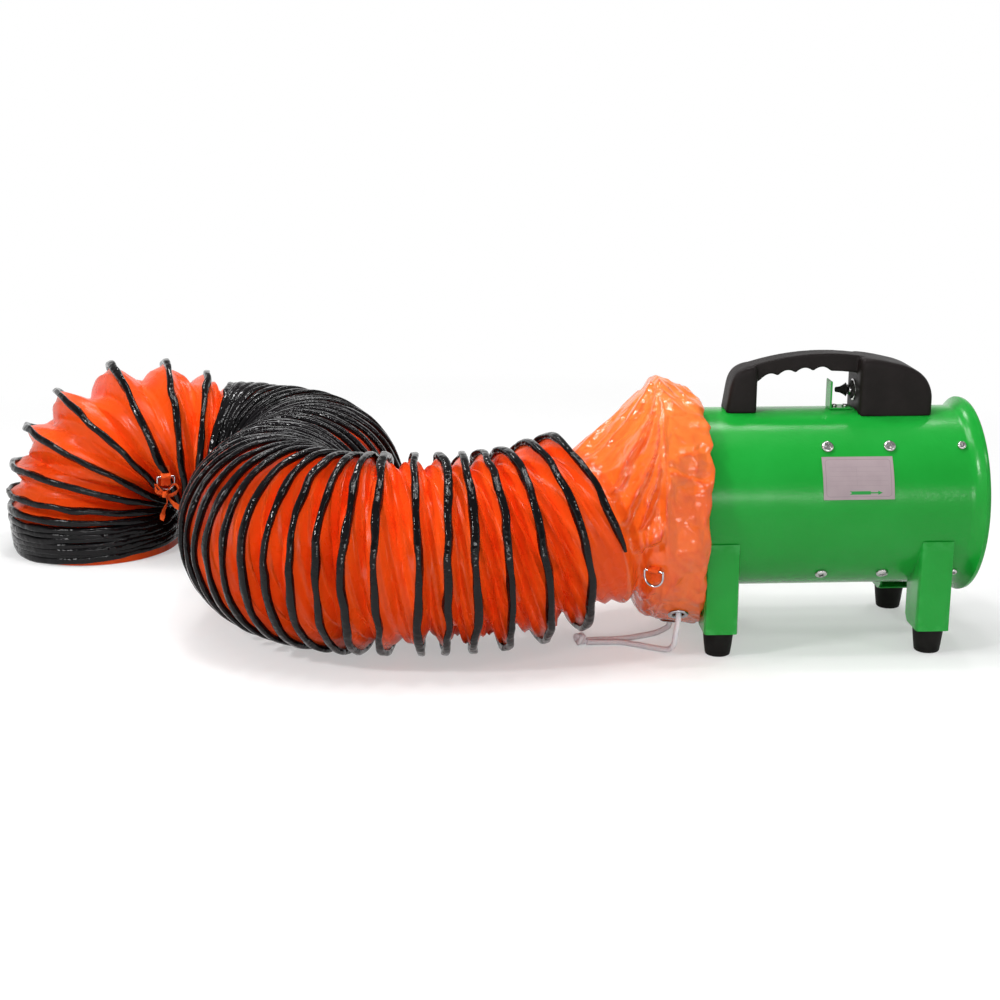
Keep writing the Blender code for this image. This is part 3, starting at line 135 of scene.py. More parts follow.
class Graph:
    """The node tree of a material or of the world."""

    def __init__(self, owner: Union[bpy.types.Material, bpy.types.World]) -> None:
        """Keeps the owner, its tree and its shader.

        Args:
            owner: the material or world whose nodes these are.
        """
        owner.use_nodes = True
        self.owner = owner
        self.tree = owner.node_tree
        kinds = {"BSDF_PRINCIPLED", "BACKGROUND"}
        self.shader = next(item for item in self.tree.nodes if item.type in kinds)

    def feed(self, node: bpy.types.Node, inputs: dict[Socket, Any]) -> None:
        """Sets or links some of a node's sockets.

        Args:
            node: the node.
            inputs: values or signals for its sockets, by name or number.
        """
        for key, value in inputs.items():
            if isinstance(value, Signal):
                self.tree.links.new(value.socket, node.inputs[key])
            else:
                node.inputs[key].default_value = value

    def node(
        self, kind: str, settings: Optional[dict[str, Any]] = None,
        inputs: Optional[dict[Socket, Any]] = None, output: Socket = 0,
    ) -> Signal:
        """Adds a node, which is the only place where one is made.

        Args:
            kind: the node's type.
            settings: its properties, set first; a ramp's stops are (place, grey) pairs.
            inputs: values or signals for its sockets, by name or number.
            output: the socket that is returned.

        Returns:
            The node's output.
        """
        made = self.tree.nodes.new(kind)
        for key, value in (settings or {}).items():
            if key == "stops":
                for element, (place, grey) in zip(made.color_ramp.elements, value):
                    element.position = place
                    element.color = (grey, grey, grey, 1.0)
            else:
                setattr(made, key, value)
        self.feed(made, inputs or {})
        return Signal(self, made.outputs[output])

    def math(self, kind: str, *values: Number) -> Signal:
        """A Math node on one or more values."""
        return self.node("ShaderNodeMath", {"operation": kind}, dict(enumerate(values)))

    def place(self) -> Signal:
        """Places on the piece in metres."""
        return self.node("ShaderNodeTexCoord", output="Object")

    def lay(self) -> tuple[Signal, Signal]:
        """A piece's own flat coordinates, across and along, in metres."""
        flat = self.node("ShaderNodeUVMap", {"uv_map": LAY})
        return tuple(self.node("ShaderNodeSeparateXYZ", None, {0: flat}, axis) for axis in (0, 1))

    def noise(self, scale: float, detail: float) -> Signal:
        """Soft noise with this many lumps in a metre."""
        return self.node("ShaderNodeTexNoise", None, {"Vector": self.place(), "Scale": scale, "Detail": detail})

    def contrast(self, value: Signal, low: float, high: float) -> Signal:
        """A value spread so that low becomes 0 and high becomes 1."""
        return self.node("ShaderNodeValToRGB", {"stops": ((low, 0.0), (high, 1.0))}, {0: value})

    def mix(self, share: Number, first: Union[Colour, Signal], second: Union[Colour, Signal]) -> Signal:
        """A colour between two, by a share from 0 to 1."""
        ends = [value if isinstance(value, Signal) else (*value, 1.0) for value in (first, second)]
        return self.node("ShaderNodeMix", {"data_type": "RGBA"}, {0: share, 6: ends[0], 7: ends[1]}, 2)

    def bump(self, height: Signal, depth: float, normal: Optional[Signal] = None) -> Signal:
        """A normal bent by a height of this depth in metres, over another normal."""
        inputs = {"Height": height, "Distance": depth, **({"Normal": normal} if normal else {})}
        return self.node("ShaderNodeBump", None, inputs)

    def seen(self) -> Signal:
        """1 where the camera, a reflection or a view through glass looks, and 0 for light that only falls."""
        camera, glossy, through = (self.node("ShaderNodeLightPath", output=f"Is {kind} Ray") for kind in RAYS)
        return self.math("MAXIMUM", self.math("MAXIMUM", camera, glossy), through)

    def shade(self, inputs: dict[str, Any]) -> None:
        """Sets or links the shader's sockets."""
        self.feed(self.shader, inputs)


@dataclass(frozen=True)
class Relief:
    """One layer of fine lumps: how many in a metre, how deep in metres, and how rough."""

    scale: float
    depth: float
    detail: float = 2.0


@dataclass(frozen=True)
class Finish:
    """A finish with a mottled colour, an uneven gloss and fine relief."""

    name: str
    slot: str
    colour: Colour
    tone: Colour
    tone_scale: float
    roughness: float
    spread: float
    reliefs: tuple[Relief, ...]
    metallic: float = 0.0
    coat: float = 0.0
    coat_roughness: float = 0.08
    specular: float = 0.5
    # Pale colour on sharp edges: wear on paint, plastics and rubber, and on coated cloth a painted highlight on fold
    # crests.
    wear_and_crest_sheen: Optional[Colour] = None

    def build(self) -> bpy.types.Material:
        """Makes the material.

        Returns:
            The material.
        """
        graph = Graph(bpy.data.materials.new(self.name))
        graph.shade({"Base Color": self.colours(graph), "Roughness": self.gloss(graph), "Metallic": self.metallic})
        graph.shade({"Coat Weight": self.coat, "Coat Roughness": self.coat_roughness})
        graph.shade({"Specular IOR Level": self.specular, "Normal": self.relief(graph)})
        return graph.owner

    def colours(self, graph: Graph) -> Signal:
        """The colour, mottled with its tone and paler on sharp edges: wear on solids, and a painted highlight on
        cloth crests.

        Args:
            graph: the material's node tree.

        Returns:
            The colour.
        """
        mottle = graph.contrast(graph.noise(self.tone_scale, 4.0), *MOTTLE)
        colour = graph.mix(mottle, self.colour, self.tone)
        # Sharp edges turn pale: wear on solids, and on cloth a painted highlight along fold crests.
        if self.wear_and_crest_sheen:
            edge = graph.node("ShaderNodeNewGeometry", output="Pointiness")
            patchy = graph.contrast(graph.noise(self.tone_scale * 8, 3.0), *WEAR_AND_SHEEN_PATCHES)
            colour = graph.mix(graph.contrast(edge, *WEAR_AND_SHEEN_EDGES) * patchy, colour, self.wear_and_crest_sheen)
        return colour

    def gloss(self, graph: Graph) -> Signal:
        """The roughness, uneven by its spread."""
        return graph.noise(self.tone_scale * 3, 3.0) * (2 * self.spread) + (self.roughness - self.spread)

    def relief(self, graph: Graph) -> Signal:
        """The normal, bent by each layer of relief.

        Args:
            graph: the material's node tree.

        Returns:
            The normal.
        """
        normal = None
        for layer in self.reliefs:
            normal = graph.bump(graph.noise(layer.scale, layer.detail), layer.depth, normal)
        return normal


@dataclass(frozen=True)
class CoatedCloth(Finish):
    """Coated cloth: a scrim that shows through, sharp little creases, and stitches along a seam if it has one."""

    # Painted shade: a deeper colour put into the concave creases of the folds.
    painted_fold_shade: Colour = (0.5, 0.02, 0.003)
    # Painted light: a paler colour that the cloth takes towards the top, where more light falls; the next field gives
    # the heights over which it comes in.
    painted_top_light: Optional[Colour] = None
    painted_light_heights: Pair = (0.18, 0.29)
    scrim_pitch: float = 0.0016
    scrim_depth: float = 0.00006
    warp_scale: float = 22.0
    warp_reach: float = 0.03
    crease_scale: float = 60.0
    crease_depth: float = 0.0012
    crease_spread: float = 0.22
    seam_at: Optional[float] = None
    stitch_half: float = 0.0011
    stitch_pitch: float = 0.005
    stitch_gap: float = 0.35
    stitch_depth: float = 0.0008

    def colours(self, graph: Graph) -> Signal:
        """The colour, with painted light making it paler towards the top and painted shade making it deeper in the
        folds.

        Args:
            graph: the material's node tree.

        Returns:
            The colour.
        """
        colour = super().colours(graph)
        # Painted light: paler with height, towards the top where more light falls.
        if self.painted_top_light:
            height = graph.node("ShaderNodeSeparateXYZ", None, {0: graph.place()}, "Z")
            colour = graph.mix(graph.contrast(height, *self.painted_light_heights), colour, self.painted_top_light)
        # Painted shade: concave places take the deeper fold colour.
        edge = graph.node("ShaderNodeNewGeometry", output="Pointiness")
        return graph.mix(graph.contrast(edge, *PAINTED_SHADE_POINTINESS), self.painted_fold_shade, colour)

    def relief(self, graph: Graph) -> Signal:
        """The cloth's lumps, creases, scrim and stitches.

        Args:
            graph: the material's node tree.

        Returns:
            The normal.
        """
        normal = super().relief(graph)
        sway = graph.node("ShaderNodeTexNoise", None, {"Vector": graph.place(), "Scale": self.warp_scale}, "Color")
        places = {0: sway, 1: (self.warp_reach,) * 3, 2: graph.place()}
        warp = graph.node("ShaderNodeVectorMath", {"operation": "MULTIPLY_ADD"}, places)
        spots = {"Vector": warp, "Scale": self.crease_scale}
        cells = graph.node("ShaderNodeTexVoronoi", {"feature": "DISTANCE_TO_EDGE"}, spots)
        normal = graph.bump(graph.contrast(cells, 0.0, self.crease_spread), self.crease_depth, normal)
        across, along = graph.lay()
        threads = [graph.math("PINGPONG", side, self.scrim_pitch / 2) for side in (across, along)]
        normal = graph.bump(graph.math("MINIMUM", *threads) / self.scrim_pitch, self.scrim_depth, normal)
        if self.seam_at is not None:
            near = abs(along - self.seam_at) < self.stitch_half
            dash = (across % self.stitch_pitch) > self.stitch_pitch * self.stitch_gap
            normal = graph.bump(near * dash, self.stitch_depth, normal)
        return normal


@dataclass(frozen=True)
class PrintedPlate(Finish):
    """A pale printed plate with a ruled border, blank rules and a flow arrow."""

    width: float = 0.077
    height: float = 0.0471
    ink: Colour = (0.19, 0.17, 0.18)
    arrow: Colour = (0.012, 0.30, 0.045)
    border_inset: float = 0.0032
    border_corner: float = 0.0035
    border_half: float = 0.00022
    border_ink: float = 0.75
    table: Pair = (0.0145, 0.0359)
    table_margin: float = 0.007
    first_rule: float = 0.0150
    half_row: float = 0.00255
    column_at: float = 0.0365
    rule_half: float = 0.00013
    rule_ink: float = 0.35
    arrow_level: float = 0.0072
    tail: Triple = (0.0275, 0.0510, 0.0018)
    notch: Pair = (0.0030, 1.3)
    shaft: Triple = (0.0505, 0.0595, 0.0007)
    head: Triple = (0.0590, 0.0640, 2.2)

    def colours(self, graph: Graph) -> Signal:
        """The plate's colour with its print.

        Args:
            graph: the material's node tree.

        Returns:
            The colour.
        """
        colour = super().colours(graph)
        across, along = graph.lay()
        sides = []
        for value, size in ((across, self.width), (along, self.height)):
            straight = size / 2 - self.border_inset - self.border_corner
            sides.append(graph.math("MAXIMUM", abs(value - size / 2) - straight, 0.0))
        reach = graph.math("SQRT", sides[0] * sides[0] + sides[1] * sides[1])
        border = abs(reach - self.border_corner) < self.border_half
        rows = abs(graph.math("PINGPONG", along - self.first_rule, self.half_row)) < self.rule_half
        beside = (across > self.table_margin) * (across < self.width - self.table_margin)
        within = (along > self.table[0]) * (along < self.table[1])
        column = abs(across - self.column_at) < self.rule_half
        rules = graph.math("MAXIMUM", rows, column) * within * beside
        colour = graph.mix(rules * self.rule_ink, colour, self.ink)
        colour = graph.mix(border * self.border_ink, colour, self.ink)
        level = abs(along - self.arrow_level)
        tail, shaft = (
            (across > start) * (across < end) * (level < half) for start, end, half in (self.tail, self.shaft)
        )
        notch = (across - self.tail[0]) < (self.notch[0] - level * self.notch[1])
        start, point, slope = self.head
        head = (across > start) * ((across + level * slope) < point)
        arrow = graph.math("MAXIMUM", graph.math("MAXIMUM", tail * (1 - notch), shaft), head)
        return graph.mix(arrow, colour, self.arrow)


PAINT = Finish(
    "green_gloss_paint", "green_paint", (0.007, 0.330, 0.030), (0.011, 0.370, 0.040), 9.0, 0.24, 0.04,
    (Relief(240.0, 0.00020, 2.0), Relief(38.0, 0.0005, 1.0)), coat=0.20, coat_roughness=0.22, specular=0.20,
    wear_and_crest_sheen=(0.05, 0.44, 0.09),
)
MOULDING = Finish(
    "black_moulded_plastic", "black_plastic", (0.0100, 0.0074, 0.0071), (0.015, 0.011, 0.011), 30.0, 0.46, 0.06,
    (Relief(1400.0, 0.00016, 3.0), Relief(90.0, 0.0003)), specular=0.13, wear_and_crest_sheen=(0.036, 0.029, 0.029),
)
RUBBER = Finish(
    "black_foot_rubber", "black_rubber", (0.0060, 0.0056, 0.0050), (0.011, 0.010, 0.009), 60.0, 0.62, 0.08,
    (Relief(900.0, 0.0002, 3.0), Relief(120.0, 0.0004)), specular=0.12, wear_and_crest_sheen=(0.034, 0.032, 0.030),
)
STRIP = Finish(
    "black_strip_plastic", "black_plastic", (0.0028, 0.0026, 0.0030), (0.006, 0.005, 0.006), 45.0, 0.08, 0.04,
    (Relief(60.0, 0.0022, 2.0), Relief(190.0, 0.0006, 2.0)), specular=0.21,
)
ZINC = Finish(
    "bright_zinc", "zinc_steel", (0.62, 0.61, 0.60), (0.46, 0.45, 0.45), 160.0, 0.24, 0.08,
    (Relief(700.0, 0.00008, 3.0),), metallic=1.0,
)
CHROME = Finish(
    "ring_chrome_plate", "ring_chrome", (0.50, 0.50, 0.51), (0.38, 0.38, 0.40), 220.0, 0.14, 0.05,
    (Relief(500.0, 0.00005, 2.0),), metallic=1.0,
)
STEEL = Finish(
    "dull_steel", "core_steel", (0.20, 0.20, 0.21), (0.12, 0.11, 0.11), 90.0, 0.45, 0.10,
    (Relief(900.0, 0.0001, 3.0),), metallic=1.0,
)
CASTING = Finish(
    "cast_aluminium", "aluminium", (0.55, 0.55, 0.55), (0.40, 0.40, 0.41), 80.0, 0.46, 0.08,
    (Relief(1100.0, 0.00018, 3.0), Relief(140.0, 0.0003)), metallic=1.0,
)
WRAPPED = Finish(
    "capacitor_sleeve", "aluminium", (0.55, 0.56, 0.58), (0.42, 0.43, 0.45), 70.0, 0.35, 0.06,
    (Relief(600.0, 0.0001),), metallic=1.0,
)
PLATE = PrintedPlate(
    "printed_plate", "aluminium", (0.42, 0.335, 0.355), (0.385, 0.305, 0.325), 50.0, 0.38, 0.06,
    (Relief(500.0, 0.00004, 2.0),), specular=0.25,
)
# Its pale edge colour is a painted highlight on the fold crests, and its fold colour a painted shade in the creases.
DUCT_CLOTH = CoatedCloth(
    "duct_coated_cloth", "orange_fabric", (0.97, 0.108, 0.010), (0.93, 0.086, 0.008), 14.0, 0.28, 0.07,
    (Relief(22.0, 0.0007, 1.0), Relief(110.0, 0.0002, 2.0)), specular=0.16, crease_scale=26.0, crease_depth=0.0003,
    painted_fold_shade=(0.66, 0.022, 0.002), wear_and_crest_sheen=(1.0, 0.24, 0.055),
)
# Its pale edge colour is a painted highlight on the fold crests, its fold colour a painted shade in the creases, and
# its top colour painted light where more light falls.
SLEEVE_CLOTH = CoatedCloth(
    "sleeve_coated_cloth", "orange_fabric", (0.98, 0.165, 0.018), (0.96, 0.135, 0.013), 18.0, 0.10, 0.05,
    (Relief(30.0, 0.0015, 2.0), Relief(120.0, 0.0007, 2.0)), specular=0.46,
    crease_scale=42.0, crease_depth=0.0006, seam_at=0.0, painted_fold_shade=(0.78, 0.036, 0.002), wear_and_crest_sheen=(1.0, 0.38, 0.13),
    painted_top_light=(1.0, 0.26, 0.050),
)
# Its creases take the default fold colour, a painted shade.
WEBBING = CoatedCloth(
    "tie_webbing", "orange_fabric", (0.90, 0.110, 0.011), (0.80, 0.085, 0.009), 60.0, 0.55, 0.08,
    (Relief(300.0, 0.0004, 2.0),), specular=0.2, scrim_pitch=0.0012, crease_scale=160.0, crease_depth=0.0004,
)
CORD = Finish(
    "white_braid", "white_cord", (0.99, 0.97, 1.0), (0.92, 0.89, 0.95), 120.0, 0.78, 0.08,
    (Relief(1800.0, 0.0003, 3.0),), specular=0.25,
)


def unit(vectors: Array) -> Array:
    """The vectors, each scaled to length 1."""
    return vectors / np.linalg.norm(vectors, axis=-1, keepdims=True)


def around(count: int) -> Array:
    """Angles that share a full turn evenly."""
    return math.tau * np.arange(count) / count


def travel(points: Array) -> Array:
    """The length of a line from its start to each of its points."""
    return np.concatenate(([0.0], np.cumsum(np.linalg.norm(np.diff(points, axis=0), axis=1))))


def smooth(share: Array) -> Array:
    """A share from 0 to 1 that starts and ends gently."""
    return share * share * (3 - 2 * share)


def ramp(values: Array, start: float, run: float) -> Array:
    """0 up to a start and 1 from a run beyond it, which may be negative."""
    return np.clip((values - start) / run, 0, 1)


def spread(*parts: Array) -> Array:
    """Points from their coordinates, which are stretched to the same rows and columns."""
    return np.stack(np.broadcast_arrays(*parts), axis=-1)


def joined(shapes: Iterable["Shape"]) -> "Shape":
    """Several shapes as one."""
    return reduce(operator.add, shapes)


def wander(places: Array, pitch: float, seed: int) -> Array:
    """Smooth random values from -1 to 1 along a line.

    Args:
        places: where on the line the values are wanted.
        pitch: the distance between one random value and the next.
        seed: which line of values.

    Returns:
        A value for each place.
    """
    size = 1024
    table = np.random.default_rng(seed).uniform(-1, 1, size)
    steps = np.asarray(places, float) / pitch
    low = np.floor(steps).astype(int)
    share = smooth(steps - low)
    return table[low % size] * (1 - share) + table[(low + 1) % size] * share


@dataclass(frozen=True)
class Wave:
    """A smooth random wave: its height, the distance from one random value to the next, and its seed."""

    height: float
    pitch: float
    seed: int

    def at(self, places: Array) -> Array:
        """The wave at each place."""
        return self.height * wander(places, self.pitch, self.seed)


def zigzag(values: Array) -> Array:
    """A wave of straight flanks from -1 to 1 with a period of 1."""
    return 4 * np.abs(values - np.floor(values + 0.5)) - 1


def facets(across: Array, along: Array, seed: int) -> Array:
    """Random flat facets that meet at sharp creases, as in crumpled coated cloth.

    Args:
        across: places one way, in facets.
        along: places the other way, in facets.
        seed: which set of facets.

    Returns:
        A height from -1 to 1 for each place.
    """
    size, sway = 64, 0.35
    table = np.random.default_rng(seed).uniform(-1, 1, (size, size))
    across = across + sway * wander(along, 1.7, seed + 1)
    along = along + sway * wander(across, 1.9, seed + 2)
    column, row = np.floor(across).astype(int), np.floor(along).astype(int)
    u, v = across - column, along - row
    over = (u + v) > 1
    left, right, low, high = column % size, (column + 1) % size, row % size, (row + 1) % size
    corner = np.where(over, table[right, high], table[left, low])
    beside, above = table[right, low], table[left, high]
    u, v = np.where(over, 1 - v, u), np.where(over, 1 - u, v)
    return corner * (1 - u - v) + beside * u + above * v


def eased(points: Points, ease: float, steps: int = 4, closed: bool = False) -> Array:
    """Rounds the corners of a line of points.

    Args:
        points: the line's corners.
        ease: how far from a corner its curve starts.
        steps: the parts of each curve.
        closed: whether the line returns to its start.

    Returns:
        The points of the rounded line.
    """
    corners = np.array(points, float)
    made = []
    for index, corner in enumerate(corners):
        if not closed and index in (0, len(corners) - 1):
            made.append(corner)
            continue
        arms = []
        for other in (corners[index - 1], corners[(index + 1) % len(corners)]):
            reach = np.linalg.norm(other - corner)
            arms.append(corner + (other - corner) * min(ease / reach, 0.499))
        for share in np.linspace(0, 1, steps + 1):
            made.append((1 - share) ** 2 * arms[0] + 2 * share * (1 - share) * corner + share**2 * arms[1])
    return np.array(made)


def spline(points: Points, steps: int) -> Array:
    """A Catmull-Rom curve through points, which may be rows of points.

    Args:
        points: what the curve passes through.
        steps: the parts from each point to the next.

    Returns:
        The points of the curve.
    """
    knots = np.array(points, float)
    padded = np.concatenate((2 * knots[:1] - knots[1:2], knots, 2 * knots[-1:] - knots[-2:-1]))
    made = []
    for before, start, end, after in zip(padded, padded[1:], padded[2:], padded[3:]):
        for along in np.arange(steps) / steps:
            made.append(
                start
                + 0.5 * along * (end - before)
                + along**2 * (before - 2.5 * start + 2 * end - 0.5 * after)
                + along**3 * (1.5 * (start - end) + 0.5 * (after - before))
            )
    return np.array([*made, knots[-1]])


def evenly(points: Array, spacing: float) -> Array:
    """A line with its points about the same distance apart.

    Args:
        points: the line.
        spacing: the distance.

    Returns:
        The new points.
    """
    lengths = travel(points)
    places = np.linspace(0, lengths[-1], max(2, round(lengths[-1] / spacing)) + 1)
    return np.stack([np.interp(places, lengths, axis) for axis in points.T], axis=-1)


def placed(name: str, data: bpy.types.ID) -> bpy.types.Object:
    """A new object in the scene.

    Args:
        name: its name.
        data: its mesh, light or camera.

    Returns:
        The object.
    """
    made = bpy.data.objects.new(name, data)
    bpy.context.scene.collection.objects.link(made)
    return made


@dataclass
class Shape:
    """The points and faces of a mesh, with flat coordinates for each point where its finish needs them."""

    points: Array
    faces: list[Sequence[int]]
    lay: Optional[Array] = None

    @classmethod
    def grid(
        cls, rows: Array, ring: bool = False, loop: bool = False, caps: bool = False,
        lay: Optional[Array] = None,
    ) -> "Shape":
        """A sheet, tube or ring of quads.

        Args:
            rows: points in rows, as an array of rows by columns by 3.
            ring: whether each row closes on itself.
            loop: whether the last row joins the first.
            caps: whether the first and last rows are filled.
            lay: flat coordinates, as an array of rows by columns by 2.

        Returns:
            The shape.
        """
        count, width = rows.shape[:2]
        index = np.arange(count * width).reshape(count, width)
        ends = [index[0][::-1].tolist(), index[-1].tolist()] if caps else []
        if ring:
            index = np.hstack((index, index[:, :1]))
        if loop:
            index = np.vstack((index, index[:1]))
        quads = np.stack((index[:-1, :-1], index[:-1, 1:], index[1:, 1:], index[1:, :-1]), axis=-1)
        flat = None if lay is None else lay.reshape(-1, 2)
        return cls(rows.reshape(-1, 3), quads.reshape(-1, 4).tolist() + ends, flat)

    @classmethod
    def lathe(cls, profile: Points, sides: int = 64, loop: bool = False) -> "Shape":
        """A line of points spun about Z.

        Args:
            profile: the line, as (along, radius) points.
            sides: the points round it.
            loop: whether the line's end joins its start.

        Returns:
            The shape.
        """
        along, radius = np.array(profile, float).T
        angle = around(sides)
        rows = spread(radius[:, None] * np.cos(angle), radius[:, None] * np.sin(angle), along[:, None])
        return cls.grid(rows, ring=True, loop=loop)

    @classmethod
    def tube(
        cls, path: Array, radius: Union[float, Array], sides: int = 12, closed: bool = False,
    ) -> "Shape":
        """A round tube along a path.

        Args:
            path: the points of its middle.
            radius: one radius, or one for each point and side.
            sides: the points round it.
            closed: whether the path returns to its start.

        Returns:
            The tube, with its ends filled if it is open.
        """
        if closed:
            ahead = unit(np.roll(path, -1, axis=0) - np.roll(path, 1, axis=0))
        else:
            ahead = unit(np.gradient(path, axis=0))
        side = Vector(ahead[0]).orthogonal().normalized()
        sideways = []
        for before, now in zip(np.vstack((ahead[:1], ahead[:-1])), ahead):
            side = Vector(before).rotation_difference(Vector(now)) @ side
            sideways.append(side.normalized())
        sideways = np.array(sideways)
        upward = np.cross(ahead, sideways)
        angle = around(sides)
        reach = np.broadcast_to(radius, (len(path), sides))
        rows = path[:, None] + reach[..., None] * (
            np.cos(angle)[None, :, None] * sideways[:, None] + np.sin(angle)[None, :, None] * upward[:, None]
        )
        return cls.grid(rows, ring=True, loop=closed, caps=not closed)

    @classmethod
    def ribbon(cls, path: Array, across: Array, width: float, thickness: float) -> "Shape":
        """A flat strap along a path.

        Args:
            path: the points of its middle.
            across: the direction of its width, one for all or one for each point.
            width: its full width.
            thickness: its full thickness.

        Returns:
            The closed strap.
        """
        ahead = unit(np.gradient(path, axis=0))
        across = np.broadcast_to(np.asarray(across, float), path.shape)
        across = unit(across - np.sum(across * ahead, axis=1, keepdims=True) * ahead)
        normal = np.cross(ahead, across)
        half, thick = width / 2, thickness / 2
        outline = [(-half, 0), (-half + thick, -thick), (half - thick, -thick), (half, 0), (half - thick, thick),
                   (-half + thick, thick)]
        rows = np.stack([path + wide * across + high * normal for wide, high in outline], axis=1)
        wides = np.array([wide for wide, _ in outline])
        lay = spread(wides[None, :], travel(path)[:, None])
        return cls.grid(rows, ring=True, caps=True, lay=lay)

    @classmethod
    def slab(cls, outline: Array, half: float, edge: float, segments: int = 4) -> "Shape":
        """An outline in the XY plane, thickened to both sides along Z, with its rims rounded.

        Args:
            outline: the outline's points.
            half: half the thickness.
            edge: the radius of the rims.
            segments: the parts of each rim's curve.

        Returns:
            The shape.
        """
        shape = bmesh.new()
        base = shape.faces.new([shape.verts.new((x, y, -half)) for x, y in outline])
        pushed = bmesh.ops.extrude_face_region(shape, geom=[base])["geom"]
        far = [item for item in pushed if isinstance(item, bmesh.types.BMVert)]
        bmesh.ops.translate(shape, verts=far, vec=(0, 0, 2 * half))
        bmesh.ops.recalc_face_normals(shape, faces=shape.faces)
        rims = [item for item in shape.edges if item.calc_face_angle(0) > math.radians(45)]
        bmesh.ops.bevel(
            shape, geom=rims, offset=edge, segments=segments, profile=0.5, affect="EDGES", clamp_overlap=True
        )
        return cls.of(shape)

    @classmethod
    def block(cls, low: Sequence[float], high: Sequence[float], edge: float) -> "Shape":
        """A box between two corners with rounded edges.

        Args:
            low: its lowest corner.
            high: its highest corner.
            edge: the radius of its edges.

        Returns:
            The shape.
        """
        outline = np.array([(low[0], low[1]), (high[0], low[1]), (high[0], high[1]), (low[0], high[1])])
        shape = cls.slab(outline, (high[2] - low[2]) / 2, edge, 2)
        return shape.moved(Matrix.Translation((0, 0, (high[2] + low[2]) / 2)))

    @classmethod
    def of(cls, shape: bmesh.types.BMesh) -> "Shape":
        """The points and faces of a bmesh.

        Args:
            shape: the bmesh, which is freed.

        Returns:
            The shape.
        """
        shape.verts.index_update()
        made = cls(np.array([v.co for v in shape.verts]), [[v.index for v in f.verts] for f in shape.faces])
        shape.free()
        return made

    def moved(self, matrix: Matrix) -> "Shape":
        """The shape in another frame."""
        turn = np.array(matrix)
        return Shape(self.points @ turn[:3, :3].T + turn[:3, 3], self.faces, self.lay)

    def __add__(self, other: "Shape") -> "Shape":
        """Both shapes as one.

        Args:
            other: the second shape.

        Returns:
            A shape with the points and faces of both.
        """
        shift = len(self.points)
        lay = None
        if self.lay is not None and other.lay is not None:
            lay = np.vstack((self.lay, other.lay))
        faces = list(self.faces) + [[index + shift for index in face] for face in other.faces]
        return Shape(np.vstack((self.points, other.points)), faces, lay)

    def mesh(self, name: str, outward: bool = True) -> bpy.types.Mesh:
        """A mesh of the shape.

        Args:
            name: the mesh's name.
            outward: whether its faces are turned to face out.

        Returns:
            The mesh, with its doubled points merged.
        """
        made = bpy.data.meshes.new(name)
        made.from_pydata(self.points.tolist(), [], self.faces)
        if self.lay is not None:
            corners = np.empty(len(made.loops), np.int32)
            made.loops.foreach_get("vertex_index", corners)
            made.uv_layers.new(name=LAY).data.foreach_set("uv", self.lay[corners].astype(np.float32).ravel())
        work = bmesh.new()
        work.from_mesh(made)
        bmesh.ops.remove_doubles(work, verts=work.verts, dist=1e-7)
        if outward:
            bmesh.ops.recalc_face_normals(work, faces=work.faces)
        work.to_mesh(made)
        work.free()
        return made

    def changed(self, *modifiers: tuple[str, dict[str, Any]]) -> "Shape":
        """The shape after some modifiers.

        Args:
            modifiers: each one's type and settings; a shape as a setting becomes an object.

        Returns:
            The new shape.
        """
        made = placed("work", self.mesh("work"))
        helpers = [made]
        for kind, settings in modifiers:
            modifier = made.modifiers.new(kind, kind)
            for key, value in settings.items():
                if isinstance(value, Shape):
                    value = placed("helper", value.mesh("helper"))
                    helpers.append(value)
                setattr(modifier, key, value)
        work = bmesh.new()
        work.from_object(made, bpy.context.evaluated_depsgraph_get())
        for helper in helpers:
            bpy.data.objects.remove(helper)
        return Shape.of(work)

    def pierced(self, spots: Sequence[Array], radius: float) -> "Shape":
        """The shape without its faces round some spots.

        Args:
            spots: the middles of the holes.
            radius: the holes' radius.

        Returns:
            The shape with holes.
        """
        middles = self.points[np.array(self.faces)].mean(axis=1)
        near = np.any([np.linalg.norm(middles - spot, axis=1) < radius for spot in spots], axis=0)
        return Shape(self.points, [face for face, gone in zip(self.faces, near) if not gone], self.lay)

    def cut(self, cutter: "Shape") -> "Shape":
        """The shape with a cutter taken out of it."""
        return self.changed(("BOOLEAN", {"operation": "DIFFERENCE", "solver": "EXACT", "object": cutter}))


